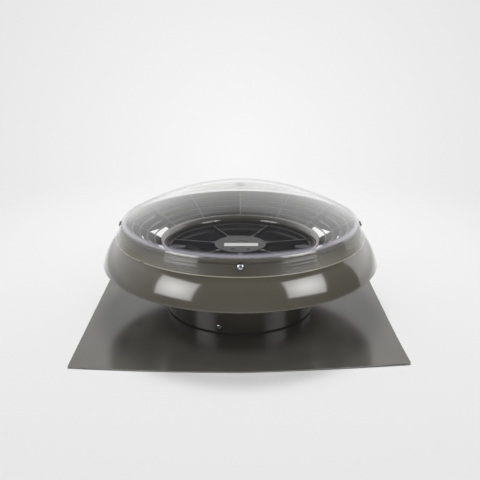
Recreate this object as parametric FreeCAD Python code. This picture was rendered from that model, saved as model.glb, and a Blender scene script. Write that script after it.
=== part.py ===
import FreeCAD, Part
import math
import os

"""Powered roof ventilator for a 250 mm throat, in millimetres.

The origin is the middle of the flashing plate's underside, +Z is up and the front is -Y.
Azimuths are in degrees from the front, anticlockwise seen from above. Half sections are drawn
in the XZ plane, radius first and height second, and turned about the Z axis.
"""

Vector = FreeCAD.Vector

# Fits between pieces
slip = 0.3               # between pieces that slide into each other
seat = 0.15              # between curved pieces that are glued or pressed together
running = 0.05           # between the shaft and its bearings
screw_clearance = 0.2    # round a screw's shank
over = 1.0               # how far a cut runs past the face that it opens

# Flashing plate with its upturned collar
plate_side = 500.0
sheet = 1.0
collar_top = 26.0
collar_bend = 1.5

# Throat tube
throat_radius = 127.0
throat_wall = 2.2
throat_top = 102.0

# Bell mouth
bell_wall = 2.5
bell_skirt = 18.0
bell_flange = 2.5
bell_flange_reach = 2.5  # outwards past the throat tube
lip_reach = 7.7          # outwards past the throat tube
lip_rise = 19.0          # above the throat tube

# Cowl: a skirt arc that leans inwards from the rim, a straight shoulder and an upright neck
cowl_radius = 230.9
cowl_rim = 87.5
cowl_curve = 93.0
cowl_rim_lean = 14.3
cowl_shoulder_lean = 43.5
cowl_wall = 2.5
neck_drop = 1.75         # from the middle of the dome's shoulder fillet down to the neck's top
hem_width = 6.0
hem_drop = 2.8

# Clear dome: leans are from the upright, as on the cowl
dome_wall = 2.0
dome_setback = 21.4      # from the cowl's rim inwards to the dome's lip
flange_reach = 5.2       # from the fold outwards to the lip
band_height = 9.25       # from the fold up to the middle of the shoulder fillet
crown_radius = 350.0
shoulder_fillet = 5.0
band_lean = 20.4
flange_lean = 31.5
gate_radius = 8.0
gate_depth = 0.4

# Ring grille
ring_setback = 9.3       # from the bell mouth's lip to the first ring
ring_pitch = 12.0
ring_thickness = 2.0
ring_depth = 8.0
ring_lean = 7.0          # how much farther out a ring's lower edge lies than its upper one
rib_count = 12
rib_thickness = 2.4
rib_depth = 17.0         # at the first ring
rib_end_depth = 11.0     # at the rim
grille_collar_wall = 3.5
grille_collar_height = 6.0
rib_drop = 0.4
rim_wall = 2.5
rim_height = 12.0
rim_gap = 1.0            # between the grille's rim and the cowl's neck
rim_clearance = 1.2      # between the grille's rim and the dome
rim_flange = 1.5
rim_flange_setback = 1.4

# Fan housing: ring, arms and hub, with rises and drops from the throat tube's top
housing_wall = 3.0
housing_rise = 5.0
step_drop = 6.0
cone_drop = 16.0
shroud_drop = 46.0
shroud_step = 3.2        # from the ring's bore inwards to the shroud's bore
shroud_wall = 3.0
tip_gap = 2.0
arm_count = 7
to_front = -90.0         # the turn that brings a shape from +X to the front
arm_width = 3.0
arm_root_width = 11.0
arm_root_length = 11.0
arm_height = 8.0
hub_radius = 44.0
hub_rise = 7.0
hub_chamfer = 1.0
hub_plate = 3.0
hub_skirt = 8.0
hub_skirt_wall = 2.4
plug_radius = 14.0
plug_groove = 0.8
plug_drop = 0.1
plug_thickness = 1.4
lug_radius = 7.5
lug_inset = 17.7         # from the ring's bore to the middle of a lug
lug_height = 5.5
lug_rise = 2.0
slot_length = 6.0
slot_width = 3.6
slot_radius = 31.0
slot_azimuth = 24.0
label_length = 58.0
label_width = 20.0
label_thickness = 0.25
label_shift_x = 1.4
label_shift_y = -6.0

# Impeller, with drops from the hub's top
impeller_hub_wall = 3.0
impeller_drop = 18.0
impeller_floor = 2.5
impeller_floor_hole = 12.0
impeller_nose = 5.0
blade_count = 7
blade_drop = 33.0
blade_thickness = 2.4
blade_root_chord = 38.0
blade_tip_chord = 64.0
blade_root_pitch = 40.0
blade_tip_pitch = 21.0
blade_camber = 0.08
blade_skew = 14.0
blade_section_count = 4
blade_overrun = 3.0      # how far the blades' first shape runs past the sleeve and the tips

# Motor, with lifts from the rotor cup's underside
cup_radius = 43.2
cup_wall = 2.0
cup_drop = 51.0          # from the hub's top
cup_floor = 2.5
cup_height = 36.0
cup_boss_radius = 8.0
cup_boss_height = 7.0
magnet_thickness = 3.6
magnet_lift = 13.0
magnet_height = 21.0
air_gap = 0.6
core_lift = 15.0
core_height = 18.0
tooth_count = 9
tooth_width = 6.0
yoke_thickness = 5.7
pole_thickness = 2.6
pole_gap = 3.0
coil_thickness = 3.0
coil_overhang = 3.5
board_thickness = 1.6
board_drop = 4.0         # below the stator base
board_margin = 2.0
capacitor_radius = 3.0
capacitor_gap = 0.5
base_thickness = 4.0
base_gap = 1.0
bearing_tube_wall = 3.0
bearing_radius = 11.0
bearing_bore = 4.0
bearing_width = 7.0
bearing_spacing = 27.0
bearing_shoulder = 1.5
race_thickness = 1.4
shield_recess = 0.35
shaft_end = 2.4          # above the upper bearing
shaft_chamfer = 0.5
circlip_radius = 6.5
circlip_thickness = 1.0
circlip_groove = 0.5
washer_radius = 7.5
washer_thickness = 0.7
grommet_radius = 4.2
grommet_flange = 1.3
grommet_flange_thickness = 1.5
grommet_length = 6.0
grommet_bore = 2.4
grommet_drop = 7.5       # from the hub's top
grommet_azimuth = 25.7

# Screws: shank radius, head radius and head height, then where they sit
screw_shank = 2.1
screw_head = 4.4
screw_head_height = 2.6
screw_recess_depth = 1.2
small_shank = 1.6
small_head = 3.2
small_head_height = 1.8
small_recess_depth = 0.8
throat_screw_count = 4
throat_screw_height = 11.5
throat_screw_azimuth = -15.0
fan_screw_count = 4
fan_screw_drop = 7.0     # from the throat tube's top
fan_screw_azimuth = 15.0
grille_screw_count = 4
grille_screw_azimuth = 45.0
dome_screw_count = 4
dome_screw_drop = 3.85   # from the middle of the dome's shoulder fillet
sealing_washer_radius = 5.2
sealing_washer_thickness = 0.8
motor_screw_count = 4
motor_screw_radius = 33.0
motor_screw_azimuth = 45.0
impeller_screw_count = 4
impeller_screw_radius = 28.0
screw_tip_margin = 0.6

# Sizes that follow from the ones above
throat_bore = throat_radius - throat_wall
collar_radius = throat_bore - slip
throat_foot = sheet + collar_bend + slip
bell_radius = throat_bore - slip
bell_bore = bell_radius - bell_wall
bell_flange_top = throat_top + bell_flange
bell_flange_radius = throat_radius + bell_flange_reach
lip_radius = throat_radius + lip_reach
lip_top = throat_top + lip_rise
dome_lip_radius = cowl_radius - dome_setback
fold_radius = dome_lip_radius - flange_reach
ring_first = lip_radius + ring_setback
housing_radius = bell_bore - slip
housing_bore = housing_radius - housing_wall
housing_top = throat_top + housing_rise
housing_step = throat_top - step_drop
shroud_bore = housing_bore - shroud_step
shroud_bottom = throat_top - shroud_drop
lug_reach = housing_bore - lug_inset
lug_top = throat_top + lug_rise
fan_screw_height = throat_top - fan_screw_drop
neck_inset = dome_wall + slip
rim_inset = neck_inset + cowl_wall + rim_gap
grille_collar_bore = bell_radius + slip
grille_collar_radius = grille_collar_bore + grille_collar_wall
magnet_radius = cup_radius - cup_wall - seat
core_radius = magnet_radius - magnet_thickness - air_gap
tube_bore = bearing_radius + running
tube_radius = tube_bore + bearing_tube_wall
core_bore = tube_radius + seat
hub_top = throat_top + hub_rise
hub_underside = hub_top - hub_plate
arm_top = hub_top - hub_chamfer
skirt_bottom = hub_underside - hub_skirt
base_radius = hub_radius - hub_skirt_wall - base_gap
base_bottom = hub_underside - base_thickness
board_bottom = base_bottom - board_drop
cup_bottom = hub_top - cup_drop
cup_top = cup_bottom + cup_height
cup_boss_top = cup_bottom + cup_boss_height
magnet_bottom = cup_bottom + magnet_lift
core_bottom = cup_bottom + core_lift
lower_bearing_bottom = cup_boss_top + washer_thickness + slip
upper_bearing_bottom = lower_bearing_bottom + bearing_spacing
shaft_top = upper_bearing_bottom + bearing_width + shaft_end
grommet_height = hub_top - grommet_drop
impeller_radius = shroud_bore - tip_gap
impeller_top = hub_top - impeller_drop
blade_middle = hub_top - blade_drop
impeller_hub_bore = cup_radius + seat
impeller_hub_radius = impeller_hub_bore + impeller_hub_wall
impeller_bottom = cup_bottom - slip - impeller_floor
shaft_radius = bearing_bore - running


def point(radius, height):
    """A point of a half section"""
    return Vector(radius, 0, height)


def polar(azimuth, radius, height):
    """A point at an azimuth from the front"""
    angle = math.radians(azimuth)
    return Vector(radius * math.sin(angle), -radius * math.cos(angle), height)


def spun(shape, azimuth):
    """A copy of a shape turned about the Z axis"""
    copy = shape.copy()
    copy.rotate(Vector(0, 0, 0), Vector(0, 0, 1), azimuth)
    return copy


def pattern(shape, count, first=0.0):
    """Copies of a shape spread evenly round the Z axis"""
    return [spun(shape, first + index * 360.0 / count) for index in range(count)]


def line(start, end):
    return Part.LineSegment(start, end).toShape()


def arc(start, middle, end):
    return Part.Arc(start, middle, end).toShape()


def bow(centre, radius, first, last):
    """An arc of a half section about a centre, angles in degrees from the outward direction"""
    angles = [math.radians(first), math.radians((first + last) / 2), math.radians(last)]
    return arc(*[centre + Vector(radius * math.cos(a), 0, radius * math.sin(a)) for a in angles])


def turned(edges):
    """The solid that a closed half section sweeps about the Z axis"""
    face = Part.Face(Part.Wire(edges))
    solid = face.revolve(Vector(0, 0, 0), Vector(0, 0, 1), 360)
    return solid if solid.Volume > 0 else solid.reversed()


def turned_outline(points):
    """The solid that a closed polygon of section points sweeps about the Z axis"""
    corners = [point(*pair) for pair in points]
    return turned([line(a, b) for a, b in zip(corners, corners[1:] + corners[:1])])


def ring(inner, outer, bottom, top):
    return turned_outline([(inner, bottom), (outer, bottom), (outer, top), (inner, top)])


def disc(radius, bottom, top):
    return Part.makeCylinder(radius, top - bottom, point(0, bottom))


def laid(shape, place, azimuth, tilt=0.0):
    """A shape made along +Z at the origin, laid outwards at a section point and an azimuth

    The tilt raises its outer end above the horizontal.
    """
    copy = shape.copy()
    copy.rotate(Vector(0, 0, 0), Vector(1, 0, 0), 90 - tilt)
    copy.translate(polar(0, place.x, place.z))
    return spun(copy, azimuth)


def radial_cylinder(azimuth, radius, height, near, far):
    """A cylinder that lies along a radius, from the near to the far distance"""
    return laid(disc(radius, 0, far - near), point(near, height), azimuth)


def radial_holes(shape, count, first, radius, height, near, far):
    """The shape with evenly spread radial holes"""
    hole = radial_cylinder(first, radius, height, near, far)
    return shape.cut(Part.makeCompound(pattern(hole, count)))


def pan_screw(shank, head, head_height, length, recess_depth):
    """A screw along +Z: the head's underside at the origin, its shank below, a domed head above"""
    edge = head_height / 2
    crown = (head ** 2 + edge ** 2) / (2 * edge)
    middle = point(head / 2, head_height - crown + math.sqrt(crown ** 2 - (head / 2) ** 2))
    profile = [
        line(point(0, -length), point(shank, -length)),
        line(point(shank, -length), point(shank, 0)),
        line(point(shank, 0), point(head, 0)),
        line(point(head, 0), point(head, edge)),
        arc(point(head, edge), middle, point(0, head_height)),
        line(point(0, head_height), point(0, -length)),
    ]
    return turned(profile).cut(disc(head / 3, head_height - recess_depth, head_height + over))


def heading(angle):
    """Unit vector of a half section, at an angle above the outward direction"""
    return Vector(math.cos(math.radians(angle)), 0, math.sin(math.radians(angle)))


def at_radius(foot, lean, radius):
    """Where a line through a foot point, leaning inwards from the upright, has a radius"""
    return point(radius, foot.z + (foot.x - radius) / math.tan(math.radians(lean)))


def at_height(foot, lean, height):
    """Where a line through a foot point, leaning inwards from the upright, has a height"""
    return point(foot.x - (height - foot.z) * math.tan(math.radians(lean)), height)


def meet(first, first_lean, second, second_lean):
    """Where two leaning lines cross"""
    steps = math.tan(math.radians(first_lean)), math.tan(math.radians(second_lean))
    height = (first.x - second.x + first.z * steps[0] - second.z * steps[1]) / (steps[0] - steps[1])
    return at_height(first, first_lean, height)


# The cowl's skirt arc and shoulder line, and the dome's flange that lies on the shoulder
cowl_centre = point(cowl_radius, cowl_rim) - heading(cowl_rim_lean) * cowl_curve
cowl_shoulder = cowl_centre + heading(cowl_shoulder_lean) * cowl_curve
flange_twist = math.cos(math.radians(cowl_shoulder_lean - flange_lean))
flange_seat = cowl_shoulder + heading(cowl_shoulder_lean) * (slip + dome_wall * flange_twist)
dome_lip = at_radius(flange_seat, cowl_shoulder_lean, dome_lip_radius)
dome_fold = at_radius(dome_lip, flange_lean, fold_radius)


def band_foot(inset):
    """Foot point of the band's line, moved inwards by an inset"""
    return dome_fold - heading(band_lean) * inset


# The shoulder fillet touches the band and the crown, and so sets the crown's centre
fillet_centre = at_height(band_foot(shoulder_fillet), band_lean, dome_fold.z + band_height)
crown_drop = math.sqrt((crown_radius - shoulder_fillet) ** 2 - fillet_centre.x ** 2)
crown_centre = point(0, fillet_centre.z - crown_drop)
crown_lean = math.degrees(math.atan2(crown_drop, fillet_centre.x))
dome_apex = crown_centre.z + crown_radius
dome_screw_height = fillet_centre.z - dome_screw_drop


def under_crown(inset, depth):
    """Where the band's line at an inset comes to a depth under the crown's outer face"""
    foot = band_foot(inset)
    uphill = heading(band_lean + 90)
    offset = foot - crown_centre
    along = offset.dot(uphill)
    reach = (crown_radius - depth) ** 2 - offset.dot(offset) + along ** 2
    return foot + uphill * (math.sqrt(reach) - along)


# The neck ends a little below the shoulder fillet, and the grille's rim a little below the crown
neck_top = fillet_centre.z - neck_drop
neck_radius = at_height(band_foot(neck_inset), band_lean, neck_top).x
rim_edge = under_crown(rim_inset, dome_wall + rim_clearance)
rim_top = rim_edge.z
rim_top_bore = rim_edge.x - rim_wall / math.cos(math.radians(band_lean))
ring_count = 1 + int((rim_top_bore - ring_pitch / 2 - ring_first) / ring_pitch)


def flashing_plate():
    """Square sheet with a round hole whose edge is drawn up into a collar"""
    outer = collar_radius + collar_bend
    inner_bend = collar_bend + sheet
    bend_centre = point(outer, sheet + collar_bend)
    collar = turned([
        bow(bend_centre, inner_bend, 270, 180),
        line(point(collar_radius - sheet, sheet + collar_bend), point(collar_radius - sheet, collar_top)),
        line(point(collar_radius - sheet, collar_top), point(collar_radius, collar_top)),
        line(point(collar_radius, collar_top), point(collar_radius, sheet + collar_bend)),
        bow(bend_centre, collar_bend, 180, 270),
        line(point(outer, sheet), point(outer, 0)),
    ])
    plate = Part.makeBox(plate_side, plate_side, sheet, Vector(-plate_side / 2, -plate_side / 2, 0))
    plate = plate.cut(disc(outer, -over, sheet + over)).fuse(collar)
    return radial_holes(
        plate, throat_screw_count, throat_screw_azimuth, screw_shank + screw_clearance,
        throat_screw_height, collar_radius - 2 * sheet, throat_radius,
    )


def throat_tube():
    tube = ring(throat_bore, throat_radius, throat_foot, throat_top)
    hole = screw_shank + screw_clearance
    tube = radial_holes(
        tube, throat_screw_count, throat_screw_azimuth, hole, throat_screw_height,
        throat_bore - over, throat_radius + over,
    )
    return radial_holes(
        tube, fan_screw_count, fan_screw_azimuth, hole, fan_screw_height,
        throat_bore - over, throat_radius + over,
    )


def throat_screws():
    """Short screws through the throat tube that end inside the collar's wall, clear of its bore"""
    length = throat_radius + seat - collar_radius + sheet - screw_tip_margin
    screw = pan_screw(screw_shank, screw_head, screw_head_height, length, screw_recess_depth)
    screw = laid(screw, point(throat_radius + seat, throat_screw_height), throat_screw_azimuth)
    return pattern(screw, throat_screw_count)


def bell_mouth():
    """Skirt inside the throat, a flange on its top edge and a flare that ends in a rounded lip"""
    edge = bell_wall / 2
    flare_outer = lip_radius - edge - bell_bore
    flare_inner = flare_outer - bell_wall
    centre = point(lip_radius - edge, lip_top - flare_outer)
    flare_start = centre.z
    lip_centre = point(centre.x, lip_top - edge)
    skirt_bottom_z = throat_top - bell_skirt
    bell = turned([
        line(point(bell_bore, skirt_bottom_z), point(bell_bore, flare_start)),
        bow(centre, flare_outer, 180, 90),
        bow(lip_centre, edge, 90, -90),
        bow(centre, flare_inner, 90, 180),
        line(point(bell_radius, flare_start), point(bell_radius, bell_flange_top)),
        line(point(bell_radius, bell_flange_top), point(bell_flange_radius, bell_flange_top)),
        line(point(bell_flange_radius, bell_flange_top), point(bell_flange_radius, throat_top)),
        line(point(bell_flange_radius, throat_top), point(bell_radius, throat_top)),
        line(point(bell_radius, throat_top), point(bell_radius, skirt_bottom_z)),
        line(point(bell_radius, skirt_bottom_z), point(bell_bore, skirt_bottom_z)),
    ])
    bell = radial_holes(
        bell, fan_screw_count, fan_screw_azimuth, screw_shank + screw_clearance,
        fan_screw_height, bell_bore - over, bell_radius + over,
    )
    return radial_holes(
        bell, grille_screw_count, grille_screw_azimuth, small_shank + screw_clearance,
        grille_screw_z(), bell_bore - over, bell_radius + over,
    )


def fan_screws():
    """Screws through the throat tube and the bell mouth into the fan housing"""
    length = throat_radius - housing_bore - screw_tip_margin
    screw = pan_screw(screw_shank, screw_head, screw_head_height, length, screw_recess_depth)
    screw = laid(screw, point(throat_radius + seat, fan_screw_height), fan_screw_azimuth)
    return pattern(screw, fan_screw_count)


def cowl_shell():
    """Hood with a rolled-in hem at its rim and a leaning neck that carries the dome"""
    inner_curve = cowl_curve - cowl_wall
    rim_inner = cowl_centre + heading(cowl_rim_lean) * inner_curve
    hem_low = cowl_rim - hem_drop
    hem_outer = point(cowl_radius - hem_drop, hem_low)
    hem_inner = hem_outer.x - hem_width
    hem_top = hem_low + cowl_wall
    inner_shoulder = cowl_shoulder - heading(cowl_shoulder_lean) * cowl_wall
    outer_foot = band_foot(neck_inset)
    inner_foot = band_foot(neck_inset + cowl_wall)
    outer_corner = meet(cowl_shoulder, cowl_shoulder_lean, outer_foot, band_lean)
    inner_corner = meet(inner_shoulder, cowl_shoulder_lean, inner_foot, band_lean)
    outer_top = at_height(outer_foot, band_lean, neck_top)
    inner_top = at_height(inner_foot, band_lean, neck_top)
    shell = turned([
        bow(cowl_centre, cowl_curve, cowl_shoulder_lean, cowl_rim_lean),
        bow(point(hem_outer.x, cowl_rim), hem_drop, 0, -90),
        line(hem_outer, point(hem_inner, hem_low)),
        line(point(hem_inner, hem_low), point(hem_inner, hem_top)),
        line(point(hem_inner, hem_top), point(rim_inner.x, hem_top)),
        line(point(rim_inner.x, hem_top), rim_inner),
        bow(cowl_centre, inner_curve, cowl_rim_lean, cowl_shoulder_lean),
        line(inner_shoulder, inner_corner),
        line(inner_corner, inner_top),
        line(inner_top, outer_top),
        line(outer_top, outer_corner),
        line(outer_corner, cowl_shoulder),
    ])
    return dome_screw_holes(shell)


def clear_dome():
    """Clear moulded cap: a shallow crown, a rounded shoulder, a leaning band and a wider flange"""
    skins = []
    for inset in (0, dome_wall):
        fillet = shoulder_fillet - inset
        flange_foot = dome_lip - heading(flange_lean) * inset
        band_start = fillet_centre + heading(band_lean) * fillet
        fold = meet(band_foot(inset), band_lean, flange_foot, flange_lean)
        skins.append([
            bow(crown_centre, crown_radius - inset, 90, crown_lean),
            bow(fillet_centre, fillet, crown_lean, band_lean),
            line(band_start, fold),
            line(fold, flange_foot),
        ])
    outer, inner = skins
    apex = line(point(0, dome_apex - dome_wall), point(0, dome_apex))
    lip = line(dome_lip, dome_lip - heading(flange_lean) * dome_wall)
    dome = turned(outer + [lip] + inner[::-1] + [apex])
    dome = dome.cut(disc(gate_radius, dome_apex - gate_depth, dome_apex + over))
    return dome_screw_holes(dome)


def dome_screw_place():
    """Where a dome screw's axis leaves the band's outer face"""
    return at_height(dome_fold, band_lean, dome_screw_height)


def dome_screw_holes(shape):
    """The shape with the holes of the dome screws, square to the band"""
    depth = rim_inset + 2 * rim_wall
    hole = laid(disc(screw_shank + screw_clearance, -depth, over), dome_screw_place(), 0, band_lean)
    return shape.cut(Part.makeCompound(pattern(hole, dome_screw_count)))


def dome_screws():
    """Screws through the dome's band and the cowl's neck into the grille's rim"""
    lift = seat + sealing_washer_thickness
    length = lift + rim_inset + rim_wall - screw_tip_margin
    screw = pan_screw(screw_shank, screw_head, screw_head_height, length, screw_recess_depth)
    place = dome_screw_place() + heading(band_lean) * lift
    return pattern(laid(screw, place, 0, band_lean), dome_screw_count)


def dome_washers():
    """Sealing washers under the heads of the dome screws"""
    bore = screw_shank + screw_clearance
    washer = ring(bore, sealing_washer_radius, seat, seat + sealing_washer_thickness)
    return pattern(laid(washer, dome_screw_place(), 0, band_lean), dome_screw_count)


def dome_seal():
    """Soft strip on the grille's rim flange, under the dome's shoulder"""
    corner = fillet_centre + heading(crown_lean) * (shoulder_fillet - dome_wall - seat)
    bottom = neck_top + rim_flange
    inner = at_height(band_foot(rim_inset), band_lean, bottom).x + slip
    return ring(inner, corner.x, bottom, corner.z)


def grille_line(radius):
    """Height of the grille's sloping top at a radius"""
    inner = lip_radius + over
    inner_height = lip_top - bell_wall / 4
    slope = (rim_top - inner_height) / (rim_top_bore - inner)
    return inner_height + slope * (radius - inner)


def grille_screw_z():
    """Height of the grille's screws, whose heads just clear the bell mouth's flange"""
    return bell_flange_top + small_head + slip


def grille_rim():
    """Outer rim, parallel to the cowl's neck, with a flange that rests on the neck's top"""
    outer = band_foot(rim_inset)
    inner = band_foot(rim_inset + rim_wall)
    flange_radius = neck_radius - rim_flange_setback
    heights = (rim_top - rim_height, neck_top, neck_top + rim_flange, rim_top)
    low, flange_low, flange_high, high = [at_height(outer, band_lean, height) for height in heights]
    return turned([
        line(low, flange_low),
        line(flange_low, point(flange_radius, flange_low.z)),
        line(point(flange_radius, flange_low.z), point(flange_radius, flange_high.z)),
        line(point(flange_radius, flange_high.z), flange_high),
        line(flange_high, high),
        line(high, at_height(inner, band_lean, high.z)),
        line(at_height(inner, band_lean, high.z), at_height(inner, band_lean, low.z)),
        line(at_height(inner, band_lean, low.z), low),
    ])


def grille_rib():
    """Upright radial rib from the collar, round the bell mouth's lip, to the rim"""
    inside = grille_collar_bore + grille_collar_wall / 2
    past_lip = lip_radius + over
    rim_middle = band_foot(rim_inset + rim_wall / 2)
    top = grille_line(rim_top_bore) - rib_drop
    corners = [
        point(inside, bell_flange_top),
        point(inside, bell_flange_top + grille_collar_height),
        point(lip_radius - bell_wall / 2, lip_top - 2 * bell_wall),
        point(past_lip, grille_line(past_lip) - rib_drop),
        at_height(rim_middle, band_lean, top),
        at_height(rim_middle, band_lean, top - rib_end_depth),
        point(ring_first, grille_line(ring_first) - rib_drop - rib_depth),
        point(bell_flange_radius + over, bell_flange_top),
    ]
    start = [corner - Vector(0, rib_thickness / 2, 0) for corner in corners]
    face = Part.Face(Part.makePolygon(start + start[:1]))
    return face.extrude(Vector(0, rib_thickness, 0))


def exhaust_grille():
    """Leaning louvre rings on radial ribs, between a collar on the bell mouth and the outer rim"""
    collar_end = bell_flange_top + grille_collar_height
    collar = ring(grille_collar_bore, grille_collar_radius, bell_flange_top, collar_end)
    rings = []
    for index in range(ring_count):
        radius = ring_first + index * ring_pitch
        top = grille_line(radius)
        inner = radius - ring_thickness / 2
        outer = radius + ring_thickness / 2
        rings.append(turned_outline([
            (inner, top),
            (outer, top),
            (outer + ring_lean, top - ring_depth),
            (inner + ring_lean, top - ring_depth),
        ]))
    grille = grille_rim().fuse([collar] + rings + pattern(grille_rib(), rib_count))
    grille = dome_screw_holes(grille)
    return radial_holes(
        grille, grille_screw_count, grille_screw_azimuth, small_shank + screw_clearance,
        grille_screw_z(), grille_collar_bore - over, grille_collar_radius + over,
    )


def grille_screws():
    """Screws through the grille's collar into the bell mouth"""
    length = grille_collar_radius - bell_bore - screw_tip_margin
    screw = pan_screw(small_shank, small_head, small_head_height, length, small_recess_depth)
    screw = laid(screw, point(grille_collar_radius + seat, grille_screw_z()), grille_screw_azimuth)
    return pattern(screw, grille_screw_count)


def fan_housing():
    """Stepped ring round the impeller with straight arms that carry the hub plate"""
    shroud_radius = shroud_bore + shroud_wall
    cone = housing_radius - shroud_radius
    body = turned_outline([
        (shroud_bore, shroud_bottom),
        (shroud_radius, shroud_bottom),
        (shroud_radius, throat_top - cone_drop),
        (housing_radius, throat_top - cone_drop + cone),
        (housing_radius, housing_top),
        (housing_bore, housing_top),
        (housing_bore, housing_step + housing_bore - shroud_bore),
        (shroud_bore, housing_step),
    ])
    hub = turned_outline([
        (plug_radius + plug_groove, hub_top),
        (hub_radius - hub_chamfer, hub_top),
        (hub_radius, arm_top),
        (hub_radius, skirt_bottom),
        (hub_radius - hub_skirt_wall, skirt_bottom),
        (hub_radius - hub_skirt_wall, hub_underside),
        (tube_bore + slip, hub_underside),
        (tube_bore + slip, hub_top - plug_thickness - seat),
        (plug_radius + plug_groove, hub_top - plug_thickness - seat),
    ])
    root = hub_radius - hub_skirt_wall / 2
    arm_end = housing_bore + housing_wall / 2
    outline = [
        Vector(root, -arm_root_width / 2, arm_top - arm_height),
        Vector(root + arm_root_length, -arm_width / 2, arm_top - arm_height),
        Vector(arm_end, -arm_width / 2, arm_top - arm_height),
        Vector(arm_end, arm_width / 2, arm_top - arm_height),
        Vector(root + arm_root_length, arm_width / 2, arm_top - arm_height),
        Vector(root, arm_root_width / 2, arm_top - arm_height),
    ]
    arm = Part.Face(Part.makePolygon(outline + outline[:1])).extrude(Vector(0, 0, arm_height))
    lug_tip = Part.makeCylinder(lug_radius, lug_height, Vector(lug_reach, 0, lug_top - lug_height))
    lug_web = Part.makeBox(
        arm_end - lug_reach, 2 * lug_radius, lug_height,
        Vector(lug_reach, -lug_radius, lug_top - lug_height),
    )
    lug = lug_tip.fuse(lug_web)
    body = body.fuse([hub] + pattern(arm, arm_count, to_front) + pattern(lug, 2)).removeSplitter()
    for side in (-1, 1):
        place = polar(side * slot_azimuth, slot_radius, hub_underside - over)
        slot = Part.makeBox(slot_length, slot_width, hub_plate + 2 * over)
        slot.translate(place - Vector(slot_length / 2, slot_width / 2, 0))
        body = body.cut(slot)
    hole_radius = small_shank + screw_clearance
    hole = disc(hole_radius, hub_underside - over, hub_top + over)
    sink_radius = small_head + screw_clearance
    sink = Part.makeCone(hole_radius, sink_radius, hub_plate, point(0, hub_underside))
    hole = hole.fuse(sink)
    hole.translate(polar(motor_screw_azimuth, motor_screw_radius, 0))
    body = body.cut(pattern(hole, motor_screw_count))
    body = body.cut(radial_cylinder(
        grommet_azimuth, grommet_radius + seat, grommet_height, base_radius, hub_radius + over,
    ))
    return radial_holes(
        body, fan_screw_count, fan_screw_azimuth, screw_shank + screw_clearance,
        fan_screw_height, housing_bore - over, housing_radius + over,
    )


def label_strip():
    """Bare label across the hub plate"""
    corner = Vector(label_shift_x - label_length / 2, label_shift_y - label_width / 2, hub_top)
    return Part.makeBox(label_length, label_width, label_thickness, corner)


def hub_plug():
    """Round plug over the bearing tube, flush with the hub plate"""
    top = hub_top - plug_drop
    head = disc(plug_radius, top - plug_thickness, top)
    spigot = disc(tube_bore, hub_underside + seat, top - plug_thickness)
    return head.fuse(spigot)


def stator_base():
    """Aluminium disc under the hub plate, with the tube that holds both bearings"""
    shoulder_bore = bearing_radius - bearing_shoulder
    base = turned_outline([
        (tube_bore, hub_underside),
        (base_radius, hub_underside),
        (base_radius, base_bottom),
        (tube_radius, base_bottom),
        (tube_radius, lower_bearing_bottom),
        (tube_bore, lower_bearing_bottom),
        (tube_bore, lower_bearing_bottom + bearing_width + seat),
        (shoulder_bore, lower_bearing_bottom + bearing_width + seat),
        (shoulder_bore, upper_bearing_bottom - seat),
        (tube_bore, upper_bearing_bottom - seat),
    ])
    hole = Part.makeCylinder(
        small_shank + screw_clearance, base_thickness + 2 * over,
        polar(motor_screw_azimuth, motor_screw_radius, base_bottom - over),
    )
    return base.cut(pattern(hole, motor_screw_count))


def motor_screws():
    """Countersunk screws through the hub plate into the stator base"""
    length = hub_plate + base_thickness - screw_tip_margin
    shank = disc(small_shank, hub_top - length, hub_underside + hub_plate / 2)
    head = Part.makeCone(small_shank, small_head, hub_plate - seat, point(0, hub_underside))
    screw = shank.fuse(head)
    screw.translate(polar(motor_screw_azimuth, motor_screw_radius, 0))
    return pattern(screw, motor_screw_count)


def circuit_board():
    """Round control board under the stator base, with a ring of capacitors"""
    board_top = board_bottom + board_thickness
    board = ring(tube_radius + seat, base_radius - board_margin, board_bottom, board_top)
    place = polar(motor_screw_azimuth / 2, (tube_radius + base_radius) / 2, board_bottom)
    height = base_bottom - capacitor_gap - board_bottom
    capacitor = Part.makeCylinder(capacitor_radius, height, place)
    return board.fuse(pattern(capacitor, motor_screw_count))


def stator_core():
    """Laminated core: a yoke on the bearing tube with T-shaped teeth"""
    top = core_bottom + core_height
    yoke = ring(core_bore, core_bore + yoke_thickness, core_bottom, top)
    poles = ring(core_radius - pole_thickness, core_radius, core_bottom, top)
    slot = Part.makeBox(
        pole_thickness + 2 * over, pole_gap, core_height + 2 * over,
        Vector(core_radius - pole_thickness - over, -pole_gap / 2, core_bottom - over),
    )
    poles = poles.cut(pattern(slot, tooth_count, 180.0 / tooth_count))
    tooth = Part.makeBox(
        core_radius - pole_thickness / 2 - core_bore - yoke_thickness / 2, tooth_width, core_height,
        Vector(core_bore + yoke_thickness / 2, -tooth_width / 2, core_bottom),
    )
    return yoke.fuse([poles] + pattern(tooth, tooth_count)).removeSplitter()


def stator_windings():
    """One wound coil round each tooth"""
    inner = tooth_width + 2 * seat
    outer = inner + 2 * coil_thickness
    near = core_bore + yoke_thickness + seat
    far = math.sqrt((core_radius - pole_thickness - seat) ** 2 - (outer / 2) ** 2)
    bottom = core_bottom - coil_overhang
    height = core_height + 2 * coil_overhang
    coil = Part.makeBox(far - near, outer, height, Vector(near, -outer / 2, bottom))
    window = Part.makeBox(
        far - near + 2 * over, inner, core_height + 2 * seat,
        Vector(near - over, -inner / 2, core_bottom - seat),
    )
    return pattern(coil.cut(window), tooth_count)


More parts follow.
